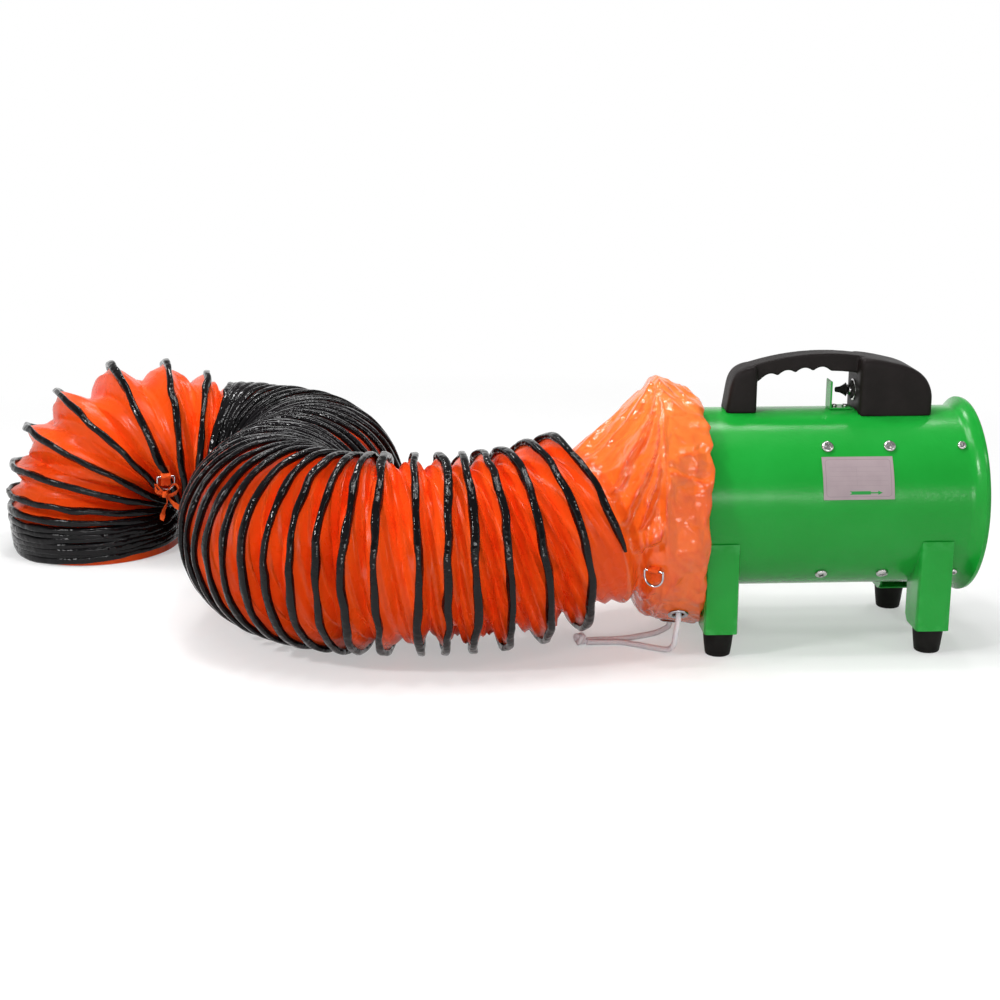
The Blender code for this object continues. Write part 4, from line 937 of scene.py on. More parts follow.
class Workshop:
    """Makes the scene's pieces and hangs each on its body."""

    def __init__(self) -> None:
        """Starts with no finish made."""
        self.made: dict[str, bpy.types.Material] = {}

    def material(self, finish: Finish) -> bpy.types.Material:
        """The material of a finish, made once."""
        self.made[finish.name] = self.made.get(finish.name) or finish.build()
        return self.made[finish.name]

    def piece(
        self, name: str, shape: Shape, finish: Finish, body: Body, stands_for: Iterable[str] = (),
        crease: float = 35.0, outward: bool = True,
    ) -> bpy.types.Object:
        """Makes a piece of the scene.

        Args:
            name: the piece's name.
            shape: its mesh, in the frame of the solids.
            finish: its finish.
            body: the body that it rides on.
            stands_for: the solids that it replaces.
            crease: the angle in degrees above which an edge stays sharp.
            outward: whether its faces are turned to face out.

        Returns:
            The piece.
        """
        mesh = shape.mesh(name, outward)
        mesh.shade_smooth()
        mesh.set_sharp_from_angle(angle=math.radians(crease))
        mesh.materials.append(self.material(finish))
        made = placed(name, mesh)
        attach(made, body.value)
        if stands_for:
            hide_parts(*stands_for)
        LOG.info("%s: %d points on %s", name, len(mesh.vertices), body.value)
        return made

    def keep(self, finish: Finish, *nodes: str, edge: float = 0.0004) -> None:
        """Gives solids that stay a finish and slightly rounded edges.

        Args:
            finish: the finish.
            nodes: the solids' names.
            edge: the width of the rounding.
        """
        rounding = {"width": edge, "segments": 2, "limit_method": "ANGLE", "angle_limit": math.radians(40)}
        for name in nodes:
            solid = frame["nodes"][name]
            solid.data.materials.clear()
            solid.data.materials.append(self.material(finish))
            for kind, settings in (("WELD", {"merge_threshold": 1e-5}), ("BEVEL", rounding)):
                modifier = solid.modifiers.new(kind, kind)
                for key, value in settings.items():
                    setattr(modifier, key, value)
            LOG.info("%s: kept", name)


def spin(angle: float, axis: str) -> Matrix:
    """A turn about an axis."""
    return Matrix.Rotation(angle, 4, axis)


def round_casing(x: float, clock: float, radius: float) -> Matrix:
    """A frame at a radius from the fan's axis, with Z outwards and X along the axis."""
    turn = spin(clock, "X")
    return Matrix.Translation((x, 0, AXIS_HEIGHT)) @ turn @ Matrix.Translation((0, 0, radius))


@dataclass
class Screws:
    """Pan-head screws with a cross recess."""

    shop: Workshop
    bracket: Row = (0.0068, 0.0034, 0.0028, 0.0075)
    guard: Row = (0.0050, 0.0028, 0.0022, 0.0068)
    handle: Row = (0.0045, 0.0024, 0.0022, 0.0150)
    shield: Row = (0.0034, 0.0020, 0.0016, 0.0055)
    bracket_x: Pair = (-0.004, 0.064)
    guard_x: float = 0.1435
    handle_x: Pair = (-0.091, 0.113)
    shield_x: Pair = (0.019, 0.031)
    shield_rise: float = 0.0026
    spins: Triple = (0.5, 1.9, 2.3)

    def screw(self, sizes: Row) -> Shape:
        """One screw whose head stands on the XY plane, with its shank along -Z.

        Args:
            sizes: head radius, head height, shank radius and shank length.

        Returns:
            The screw.
        """
        head, height, shank, length = sizes
        profile = [(-length, 0), (-length, shank * 0.7), (-length + 0.001, shank), (0, shank), (0, head * 0.97)]
        for share in np.linspace(0, 1, 7):
            angle = share * math.pi / 2
            profile.append((height * (0.28 + 0.72 * math.sin(angle)), head * (0.52 + 0.48 * math.cos(angle) ** 0.7)))
        profile.append((height, 0))
        blank = Shape.lathe(profile, 32)
        arm, wide, deep = head * 0.62, head * 0.15, height * 0.75
        cross = Shape.block((-arm, -wide, height - deep), (arm, wide, 2 * height), wide * 0.3)
        turned = cross.moved(spin(math.pi / 2, "Z"))
        return blank.cut(cross).cut(turned)

    def build(self) -> None:
        """Places every screw."""
        bracket, guard = self.screw(self.bracket), self.screw(self.guard)
        handle, shield = self.screw(self.handle), self.screw(self.shield)
        first, by_number, by_row = self.spins
        for number, clock in enumerate(DIAGONALS, 1):
            spots = (
                (f"bracket_screw_duct_{number}", bracket, self.bracket_x[0]),
                (f"bracket_screw_open_{number}", bracket, self.bracket_x[1]),
                (f"guard_screw_{number}", guard, self.guard_x),
            )
            for turn, (name, shape, x) in enumerate(spots):
                clocked = spin(first + by_number * number + by_row * turn, "Z")
                seat = round_casing(x, clock, CASING_RADIUS + GAP) @ clocked
                self.shop.piece(f"{name}_head", shape.moved(seat), ZINC, Body.FAN, [name])
        for name, x in zip(("post", "box"), self.handle_x):
            seat = round_casing(x, 0, CASING_RADIUS - CASING_WALL - GAP) @ spin(math.pi, "X")
            node = f"handle_screw_{name}"
            self.shop.piece(f"{node}_head", handle.moved(seat), ZINC, Body.FAN, [node])
        for number, x in enumerate(self.shield_x, 1):
            seat = Matrix.Translation((x, 0, SOLID_CROWN + self.shield_rise)) @ spin(number, "Z")
            node = f"shield_screw_{number}"
            self.shop.piece(f"{node}_head", shield.moved(seat), ZINC, Body.FAN, [node])


@dataclass
class Casing:
    """The rolled casing with its bells, the legs, the feet and the guards."""

    shop: Workshop
    bell_length: float = 0.0192
    bell_lip: float = 0.0050
    lip_roll: float = 0.0020
    leg_x: float = 0.1174
    leg_half: float = 0.0185
    leg_face: float = 0.097
    leg_inner: float = 0.052
    leg_top: float = 0.130
    leg_plate: float = 0.002
    leg_chamfer: float = 0.007
    leg_bend: float = 0.0042
    leg_spacing: float = 0.004
    leg_reach: float = 0.0954
    foot_height: float = 0.0278
    foot_radii: Pair = (0.0139, 0.0170)
    foot_y: float = 0.078
    foot_ease: float = 0.0012
    guard_x: float = 0.154
    guard_wire: float = 0.0016
    guard_rings: Row = (0.0200, 0.0365, 0.0530, 0.0695, 0.0860)
    guard_steps: int = 72
    guard_arm: Pair = (0.0168, 0.0967)
    guard_foot: float = 0.0172
    guard_strap: Pair = (0.0066, 0.0020)
    guard_behind: float = 0.0024

    def tube(self) -> None:
        """The tube with a flared bell and a rolled lip at each end."""
        outside = [(0.0, CASING_RADIUS)]
        rise = BELL_RADIUS - CASING_RADIUS
        for share in np.linspace(0, 1, 9):
            along = HALF_LENGTH - self.bell_length + (self.bell_length - self.bell_lip) * share
            outside.append((along, CASING_RADIUS + rise * share**2))
        for share in np.linspace(0.2, 1, 5):
            angle = share * math.pi / 2
            outside.append((HALF_LENGTH - self.bell_lip * (1 - math.sin(angle)),
                            BELL_RADIUS - self.lip_roll * (1 - math.cos(angle))))
        inside = [(along, radius - CASING_WALL) for along, radius in outside[::-1]]
        half = outside[1:] + inside[:-1]
        whole = half + [(-along, radius) for along, radius in half[::-1]]
        shape = Shape.lathe(whole, 128, loop=True)
        self.shop.piece("casing_shell", shape.moved(FAN_AXIS), PAINT, Body.FAN, ["casing_tube"], 50.0)

    def leg(self) -> Shape:
        """One bent channel leg on the front, at x 0.

        Returns:
            The leg, with its foot plate.
        """
        half, face, inner = self.leg_half, -self.leg_face, -self.leg_inner
        outer = eased([(-half, inner), (-half, face), (half, face), (half, inner)], self.leg_bend, 5)
        plate = self.leg_plate
        bent = eased([(plate - half, inner), (plate - half, face + plate), (half - plate, face + plate),
                      (half - plate, inner)], self.leg_bend - plate, 5)
        steps = np.linspace(0, 1, 9)
        columns = []
        for line in (outer, bent[::-1]):
            line = np.concatenate([evenly(part, self.leg_spacing) for part in (line[:2], line[1:-1], line[-2:])])
            for x, y in line:
                low = self.foot_height + max(0.0, y - (inner - self.leg_chamfer))
                touch = AXIS_HEIGHT - math.sqrt(CASING_RADIUS**2 - min(abs(y), self.leg_reach) ** 2)
                columns.append([(x, y, low + (min(self.leg_top, touch) - low) * step) for step in steps])
        rows = np.array(columns).transpose(1, 0, 2)
        wall = Shape.grid(rows, ring=True)
        count = rows.shape[1]
        for row, turn in ((0, 1), (len(rows) - 1, -1)):
            for index in range(count // 2 - 1):
                quad = [index, index + 1, count - 2 - index, count - 1 - index]
                wall.faces.append([row * count + place for place in quad[::turn]])
        sole = Shape.block(
            (plate - half, face + plate, self.foot_height),
            (half - plate, inner - self.leg_chamfer, self.foot_height + plate), 0.0006,
        )
        return wall + sole

    def foot(self) -> Shape:
        """One tapered rubber foot on the origin.

        Returns:
            The foot.
        """
        low, high = self.foot_radii
        top = self.foot_height - GAP
        profile = eased(
            [(0, 0), (0, low - 0.001), (0.0012, low), (0.012, (low + high) / 2 - 0.0001), (top, high), (top, 0)],
            self.foot_ease,
        )
        return Shape.lathe(profile, 48)

    def guard(self, side: int) -> Shape:
        """The rings and arms of the guard at one end.

        Args:
            side: 1 for the open end and -1 for the duct's.

        Returns:
            The guard.
        """
        parts = []
        angle = around(self.guard_steps)
        for radius in self.guard_rings:
            path = spread(side * self.guard_x, radius * np.cos(angle), AXIS_HEIGHT + radius * np.sin(angle))
            parts.append(Shape.tube(path, self.guard_wire, 10, closed=True))
        hub, tip = self.guard_arm
        line = eased([(0, hub), (0, tip), (-side * self.guard_foot, tip)], 0.004, 6)
        path = evenly(np.array([(x, 0, high) for x, high in line]), 0.002)
        arm = Shape.ribbon(path, np.array((0, 1, 0)), *self.guard_strap)
        for clock in DIAGONALS:
            parts.append(arm.moved(round_casing(side * (self.guard_x - self.guard_behind), clock, 0)))
        return joined(parts)

    def build(self) -> None:
        """Makes every piece."""
        self.tube()
        leg, foot = self.leg(), self.foot()
        for end, x in (("duct", -self.leg_x), ("open", self.leg_x)):
            for face, turn in (("front", 0.0), ("rear", math.pi)):
                seat = Matrix.Translation((x, 0, 0)) @ spin(turn, "Z")
                node = f"{end}_{face}"
                self.shop.piece(f"channel_leg_{node}", leg.moved(seat), PAINT, Body.FAN, [f"leg_{node}"], 50.0)
                place = seat @ Matrix.Translation((0, -self.foot_y, 0))
                self.shop.piece(f"rubber_foot_{node}", foot.moved(place), RUBBER, Body.FAN, [f"foot_{node}"])
        for end, side in (("open", 1), ("duct", -1)):
            self.shop.piece(f"wire_guard_{end}", self.guard(side), ZINC, Body.FAN, [f"guard_{end}"])


@dataclass
class Handle:
    """The moulded handle: a post, a scalloped grip and a switch box, with heights above the casing's crown."""

    shop: Workshop
    sink: float = 0.022
    post_half: float = 0.0195
    grip_half: float = 0.0140
    box_half: float = 0.030
    box_left: float = 0.040
    box_right: float = 0.122
    box_back: Line = (
        (0.040, 0.0605), (0.054, 0.0592), (0.066, 0.0572), (0.078, 0.0545), (0.089, 0.0520), (0.099, 0.0482),
        (0.108, 0.0430), (0.1150, 0.0362), (0.1195, 0.0280), (0.1220, 0.0190), (0.122, 0.0080),
    )
    grip_top: float = 0.0634
    grip_peak: float = 0.005
    grip_drop: float = 0.0125
    grip_thickness: float = 0.0196
    grip_ends: Pair = (-0.077, 0.048)
    scallops: int = 4
    scallop_pitch: float = 0.0196
    scallop_depth: float = 0.0046
    scallop_start: float = -0.0680
    post_line: Line = ((-0.1005, 0.034), (-0.0950, 0.0440), (-0.0850, 0.0495), (-0.071, 0.0520))
    post_feet: Pair = (-0.109, -0.071)
    post_ease: float = 0.006
    grip_rim: float = 0.0062
    rim: float = 0.003
    voxels: Pair = (0.0015, 0.0010)
    softening: tuple[int, int] = (60, 7)

    def grip(self) -> Array:
        """The grip's side view: an arched top, and finger scallops under its post end.

        Returns:
            The closed outline.
        """
        left, right = self.grip_ends

        def top(x: float) -> float:
            """The height of the grip's top."""
            return self.grip_top - self.grip_drop * ((x - self.grip_peak) / (left - self.grip_peak)) ** 2

        outline = [(x, top(x)) for x in np.linspace(left, right, 15)]
        for x in np.linspace(right, left, 90):
            share = (x - self.scallop_start) / self.scallop_pitch
            wave = math.sin(math.pi * (share % 1)) ** 0.8 if 0 <= share <= self.scallops else 0.0
            outline.append((x, top(x) - self.grip_thickness + self.scallop_depth * wave))
        return np.array(outline)

    def box(self) -> Array:
        """The switch box's side view: a flat wall, a sloping top and a back that curves down."""
        return np.array([(self.box_left, -self.sink), *self.box_back, (self.box_right, -self.sink)])

    def post(self) -> Array:
        """The post's side view, leaning in from its foot to a round shoulder."""
        left, right = ((x, -self.sink) for x in self.post_feet)
        return eased([left, *self.post_line, right], self.post_ease, 5, closed=True)

    def softened(self, shape: Shape, number: int) -> Shape:
        """The shape as one skin with soft edges.

        Args:
            shape: closed forms, which may overlap.
            number: 0 for a part of the moulding, and 1 for the whole.

        Returns:
            The skin.
        """
        return shape.changed(
            ("REMESH", {"mode": "VOXEL", "voxel_size": self.voxels[number]}),
            ("SMOOTH", {"factor": 0.5, "iterations": self.softening[number]}),
        )

    def build(self) -> None:
        """Joins the three forms, cuts them to the casing and softens the moulding."""
        place = Matrix.Translation((0, 0, CROWN)) @ UPRIGHT
        core = Shape.lathe([(-HALF_LENGTH, 0), (-HALF_LENGTH, CASING_RADIUS), (HALF_LENGTH, CASING_RADIUS),
                            (HALF_LENGTH, 0)], 96).moved(FAN_AXIS)
        parts = [Shape.slab(self.grip(), self.grip_half, self.grip_rim).moved(place)]
        for outline, half in ((self.box(), self.box_half), (self.post(), self.post_half)):
            soft = self.softened(Shape.slab(outline, half, self.rim), 0)
            parts.append(soft.moved(place).cut(core))
        whole = self.softened(joined(parts), 1)
        self.shop.piece("moulded_handle", whole, MOULDING, Body.FAN, ["handle_shell"], SMOOTH_ALL)


@dataclass
class Switch:
    """The toggle switch, its bent shield, the cable gland and what is inside the box."""

    shop: Workshop
    seat: Triple = (0.040, 0.0, 0.28052)
    gland: Triple = (0.088, 0.030, 0.27752)
    pivot_reach: float = 0.0025
    boot_reach: float = 0.0073
    lever_length: float = 0.0185
    nut: Line = (
        (GAP, 0.0073), (0.0039, 0.0073), (0.0039, 0.0092), (0.0034, 0.0104), (0.0008, 0.0104), (GAP, 0.0098),
    )
    washer: Line = ((GAP, 0.0066), (0.0013, 0.0066), (0.0013, 0.0118), (0.0011, 0.0121), (GAP, 0.0121))
    bushing: Line = ((0, 0.0034), (0.0064, 0.0034), (0.0064, 0.0056), (0.0060, 0.0060), (0, 0.0060))
    pivot: Line = ((-0.003, 0), (-0.002, 0.0024), (0, 0.0030), (0.0035, 0.0018))
    boot_base: Line = ((-0.0012, 0.0018), (-0.0012, 0.0066))
    boot_length: float = 0.0068
    boot_radii: Pair = (0.0070, 0.0035)
    boot_ridge: float = 0.0007
    lever_tip: Line = ((-0.0030, 0.0031), (-0.0012, 0.0030), (-0.0003, 0.0021), (0, 0.0))
    gland_nut: Line = (
        (GAP, 0.0040), (0.0060, 0.0040), (0.0060, 0.0094), (0.0052, 0.0110), (0.0012, 0.0110), (GAP, 0.0104),
    )
    gland_mouth: Line = ((0.0058, 0.0040), (0.0163, 0.0040), (0.0163, 0.0060), (0.0158, 0.0068))
    gland_dome: Pair = (0.0150, 0.0074)
    gland_foot: Pair = (0.0058, 0.0085)

    def lever(self) -> Shape:
        """The lever on Z with its ridged boot.

        Returns:
            The lever.
        """
        base, tip = self.pivot_reach + self.boot_reach, self.pivot_reach + self.lever_length
        line = [(self.pivot_reach + along, radius) for along, radius in self.pivot]
        line += [(base + along, radius) for along, radius in self.boot_base]
        wide, shrink = self.boot_radii
        for share in np.linspace(0, 1, 13):
            ridge = self.boot_ridge * math.cos(share * 4 * math.tau)
            line.append((base - 0.0010 + self.boot_length * share, wide - shrink * share**0.8 + ridge * (1 - share)))
        line += [(tip + along, radius) for along, radius in self.lever_tip]
        return Shape.lathe(line, 32)

    def cable_gland(self) -> Shape:
        """The gland on Z: a hexagon and a domed cap with faint ridges.

        Returns:
            The gland.
        """
        far, low = self.gland_dome
        dome = list(self.gland_mouth)
        for share in np.linspace(0, 1, 9):
            swell = 0.0011 * math.sin(share * math.pi / 2) + 0.0002 * math.cos(share * 24)
            dome.append((far - 0.0088 * share, low + swell))
        return Shape.lathe(self.gland_nut, 6, loop=True) + Shape.lathe([*dome, self.gland_foot], 40, loop=True)

    def build(self) -> None:
        """Makes the nut, the boot, the lever and the gland, and dresses the solids that stay."""
        seat = Matrix.Translation(self.seat) @ spin(-math.pi / 2, "Y")
        nut = Shape.lathe(self.nut, 6, loop=True).moved(seat)
        self.shop.piece("toggle_nut", nut, RUBBER, Body.FAN, ["switch_nut"])
        washer = Shape.lathe(self.washer, 48, loop=True) + Shape.lathe(self.bushing, 32, loop=True)
        self.shop.piece("toggle_washer", washer.moved(seat), ZINC, Body.FAN, ["switch_nut"])
        self.shop.piece("toggle_boot_lever", self.lever().moved(seat), RUBBER, Body.TOGGLE, ["toggle_lever"])
        flank = Matrix.Translation(self.gland) @ spin(-math.pi / 2, "X")
        self.shop.piece("gland_body", self.cable_gland().moved(flank), MOULDING, Body.FAN, ["cable_gland"])
        self.shop.keep(PAINT, "switch_shield", edge=0.0007)
        self.shop.keep(MOULDING, "switch_body", "terminal_block")
        self.shop.keep(WRAPPED, "run_capacitor")


@dataclass
class RatingPlate:
    """The thin printed plate on the front of the casing."""

    shop: Workshop
    left: float = -0.012
    right: float = 0.065
    clocks: Pair = (math.radians(52), math.radians(79))
    thickness: float = 0.0007

    def build(self) -> None:
        """Bends the plate round the casing."""
        across = np.concatenate(([self.left, self.left], np.linspace(self.left, self.right, 13),
                                 [self.right, self.right]))
        clocks = np.linspace(self.clocks[1], self.clocks[0], 17)
        clocks = np.concatenate((clocks[:1], clocks[:1], clocks, clocks[-1:], clocks[-1:]))
        radius = np.full((len(clocks), len(across)), CASING_RADIUS + GAP + self.thickness)
        radius[[0, -1]] = radius[:, [0, -1]] = CASING_RADIUS - GAP
        low = CASING_RADIUS + GAP + self.thickness * 0.75
        radius[1] = radius[-2] = np.minimum(radius[1], low)
        radius[:, 1] = radius[:, -2] = np.minimum(radius[:, 1], low)
        rows = spread(
            across[None, :], -radius * np.sin(clocks)[:, None], AXIS_HEIGHT + radius * np.cos(clocks)[:, None]
        )
        lay = spread((across - self.left)[None, :], ((clocks[0] - clocks) * (CASING_RADIUS + GAP))[:, None])
        shape = Shape.grid(rows, lay=lay)
        self.shop.piece("printed_rating_plate", shape, PLATE, Body.FAN, ["rating_plate"], 60.0, False)


@dataclass
class Motor:
    """The motor in its brackets, and the impeller on its shaft."""

    shop: Workshop
    middle: float = 0.030
    half: float = 0.0425
    radius: float = 0.045
    sides: int = 192
    rib_sides: int = 8
    rib_depth: float = 0.0016
    wall: float = 0.003
    cap_line: Line = (
        (0, 0.0163), (0.009, 0.0163), (0.009, 0.0068), (0.012, 0.0068), (0.012, 0.0185), (0.0065, 0.0215),
        (0.0062, 0.0385), (0.0035, 0.0440), (0, 0.0450),
    )
    cap_rib: tuple[Triple, Triple] = ((0.0195, -0.0012, 0.004), (0.0395, 0.0012, 0.0088))
    cap_bolt: Line = ((0.005, 0), (0.005, 0.0029), (0.0082, 0.0029), (0.0088, 0.0022), (0.0088, 0))
    bolt_circle: float = 0.034
    bore: float = 0.0063
    impeller_x: float = -0.055
    impeller_half: float = 0.018
    hub: float = 0.034
    nose: float = 0.011
    root: float = 0.003
    camber: Pair = (0.0015, 0.0016)
    tip: float = 0.0936
    blades: int = 6
    chords: Pair = (0.036, 0.046)
    pitches: Pair = (math.radians(48), math.radians(26))

    def shell(self) -> Shape:
        """The motor's shell with shallow cooling ribs.

        Returns:
            The shell, along Z.
        """
        angle = around(self.sides)
        rib = np.where(np.arange(self.sides) % self.rib_sides < self.rib_sides // 2, 0.0, self.rib_depth)
        flat = np.zeros(self.sides)
        outer = self.radius - np.stack((flat + 0.0006, flat, rib, rib, flat, flat + 0.0006))
        reach = np.vstack((outer, np.full((2, self.sides), self.radius - self.wall)))
        start = -self.half + np.array((0, 0.001, 0.006))
        place = np.concatenate((start, -start[::-1], [self.half, -self.half]))
        return Shape.grid(spread(reach * np.cos(angle), reach * np.sin(angle), place[:, None]), ring=True, loop=True)

    def cap(self) -> Shape:
        """An end cap facing +Z, with a bearing boss, ribs and screws.

        Returns:
            The cap.
        """
        base = Matrix.Translation((0, 0, self.half + GAP))
        parts = [Shape.lathe(eased(self.cap_line, 0.0012), 72, loop=True)]
        rib, bolt = Shape.block(*self.cap_rib, 0.0006), Shape.lathe(self.cap_bolt, 6)
        for number in range(8):
            parts.append(rib.moved(spin(math.pi * number / 4, "Z")))
        out = Matrix.Translation((self.bolt_circle, 0, 0))
        for clock in DIAGONALS:
            parts.append(bolt.moved(spin(clock + math.pi / 8, "Z") @ out))
        return joined(parts).moved(base)

    def blade(self) -> Shape:
        """One twisted blade along Z with a rounded section.

        Returns:
            The blade.
        """
        rows = []
        for share in np.linspace(0, 1, 14):
            height = self.hub - self.root + (self.tip - self.hub + self.root) * share
            half = (self.chords[0] + (self.chords[1] - self.chords[0]) * share) / 2
            half *= 1 - 0.12 * max(0.0, share - 0.85) / 0.15
            pitch = self.pitches[0] + (self.pitches[1] - self.pitches[0]) * share
            turn = np.array(((math.cos(pitch), math.sin(pitch)), (-math.sin(pitch), math.cos(pitch))))
            section = []
            for angle in np.linspace(0, math.tau, 20, endpoint=False):
                along = half * math.cos(angle)
                thick = self.camber[0] * math.sin(angle) * (1 - 0.5 * (along / half) ** 2)
                section.append(turn @ (thick + self.camber[1] * (1 - (along / half) ** 2), along))
            rows.append([(x, y, height) for x, y in section])
        return Shape.grid(np.array(rows), ring=True, caps=True)

    def impeller(self) -> Shape:
        """The hub and its blades, with the nose towards the duct.

        Returns:
            The impeller.
        """
        half, hub, nose = self.impeller_half, self.hub, self.nose
        profile = eased(
            [(half, self.bore), (half, hub - 0.004), (half, hub), (-half + nose, hub), (-half, hub - nose),
             (-half, self.bore)], 0.004,
        )
        axis = Matrix.Translation((self.impeller_x, 0, AXIS_HEIGHT))
        parts = [Shape.lathe(profile, 72, loop=True).moved(axis @ spin(math.pi / 2, "Y"))]
        blade = self.blade()
        for angle in around(self.blades):
            parts.append(blade.moved(axis @ spin(angle, "X")))
        return joined(parts)

    def build(self) -> None:
        """Makes the motor's and the rotor's pieces, and dresses the solids that stay."""
        seat = FAN_AXIS @ Matrix.Translation((0, 0, self.middle))
        self.shop.piece("motor_ribbed_shell", self.shell().moved(seat), CASTING, Body.FAN, ["motor_shell"])
        for end, turn in (("open", 0.0), ("duct", math.pi)):
            cap = self.cap().moved(seat @ spin(turn, "X"))
            self.shop.piece(f"motor_end_{end}", cap, CASTING, Body.FAN, [f"motor_cap_{end}"])
        self.shop.piece("moulded_impeller", self.impeller(), MOULDING, Body.ROTOR, ["impeller"])
        brackets = [f"motor_bracket_{number}" for number in range(1, 5)]
        self.shop.keep(ZINC, *brackets, "bearing_open", "bearing_duct", "motor_shaft", "impeller_nut")
        self.shop.keep(STEEL, "stator_core", "rotor_core")


@dataclass
class DuctRoute:
    """Where the duct lies: turns of the strip with the x from the casing's end, y, z, heading and tilt in degrees."""

    rows: tuple[Row, ...] = (
        (-0.5, -0.0755, -0.0165, 0.136, 197, -16), (0, -0.094, -0.022, 0.132, 197, -15),
        (1, -0.131, -0.034, 0.126, 196, -8), (2, -0.167, -0.043, 0.117, 193, -5),
        (3, -0.198, -0.049, 0.114, 188, -1), (4, -0.226, -0.053, 0.113, 184, 2),
        (6, -0.279, -0.055, 0.113, 180, 3), (7, -0.314, -0.054, 0.113, 175, 3),
        (9, -0.352, -0.048, 0.113, 162, 3), (11, -0.384, -0.034, 0.113, 148, 3),
        (13, -0.411, -0.012, 0.113, 134, 2), (15, -0.430, 0.014, 0.113, 120, 1),
        (18, -0.444, 0.060, 0.113, 99, 0), (22, -0.434, 0.132, 0.113, 70, 0),
        (25, -0.416, 0.186, 0.113, 70, 0), (28, -0.407, 0.240, 0.113, 88, 0),
        (32, -0.427, 0.311, 0.113, 119, 0), (36, -0.480, 0.354, 0.113, 149, 1),
        (40, -0.532, 0.367, 0.115, 172, 8), (41.25, -0.548, 0.373, 0.114, 180, 12),
        (42.25, -0.569, 0.380, 0.128, 184, 7), (43.25, -0.601, 0.386, 0.143, 188, -5),
        (44.25, -0.640, 0.390, 0.149, 191, -23), (45.25, -0.680, 0.393, 0.136, 194, -43),
        (46.25, -0.705, 0.395, 0.113, 196, -59), (47.25, -0.717, 0.397, 0.086, 198, -73),
        (48.25, -0.720, 0.398, 0.066, 199, -82), (49.25, -0.719, 0.398, 0.053, 200, -86),
        (52, -0.717, 0.398, 0.0345, 200, -90.5), (56, -0.714, 0.398, 0.0105, 200, -92.6),
        (56.5, -0.714, 0.398, 0.0080, 200, -92.6),
    )

    def __post_init__(self) -> None:
        """Works out the slope at each row."""
        table = np.array(self.rows, float)
        self.knots, self.values = table[:, 0], table[:, 1:]
        steps = np.diff(self.knots)[:, None]
        rises = np.diff(self.values, axis=0) / steps
        inner = (steps[1:] * rises[:-1] + steps[:-1] * rises[1:]) / (steps[1:] + steps[:-1])
        self.slopes = np.vstack((rises[:1], inner, rises[-1:]))

    def stations(self, turns: Array) -> tuple[Array, Array, Array, Array]:
        """The duct's middle and directions at turns of the strip.

        Args:
            turns: an array of turns.

        Returns:
            The middles and the sideways, forward and upward directions, each with the turns' shape by 3.
        """
        index = np.clip(np.searchsorted(self.knots, turns, side="left") - 1, 0, len(self.knots) - 2)
        span = (self.knots[index + 1] - self.knots[index])[..., None]
        u = (turns[..., None] - self.knots[index][..., None]) / span
        x, y, z, heading, tilt = np.moveaxis(
            self.values[index] * (1 + 2 * u) * (1 - u) ** 2
            + self.slopes[index] * span * u * (1 - u) ** 2
            + self.values[index + 1] * u**2 * (3 - 2 * u)
            + self.slopes[index + 1] * span * u**2 * (u - 1),
            -1, 0,
        )
        heading, tilt = np.radians(heading), np.radians(tilt)
        flat = np.zeros_like(heading)
        sideways = np.stack((np.sin(heading), -np.cos(heading), flat), axis=-1)
        level = np.cos(tilt)
        forward = np.stack((level * np.cos(heading), level * np.sin(heading), np.sin(tilt)), axis=-1)
        return np.stack((x - HALF_LENGTH, y, z), axis=-1), sideways, forward, np.cross(sideways, forward)

    def outward(self, turns: Array, at: Optional[Array] = None) -> Array:
        """The direction out from the duct's middle at the strip's angle, there or at other stations.

        Args:
            turns: turns of the strip, which give the angle.
            at: turns for the stations, where they differ.

        Returns:
            The directions.
        """
        _, sideways, _, upward = self.stations(turns if at is None else at)
        angle = (math.pi - math.tau * turns)[..., None]
        return np.cos(angle) * sideways + np.sin(angle) * upward

    def helix(self, turns: Array, radius: Union[float, Array]) -> Array:
        """Points on the strip's line at a radius from the duct's middle."""
        return self.stations(turns)[0] + np.asarray(radius)[..., None] * self.outward(turns)


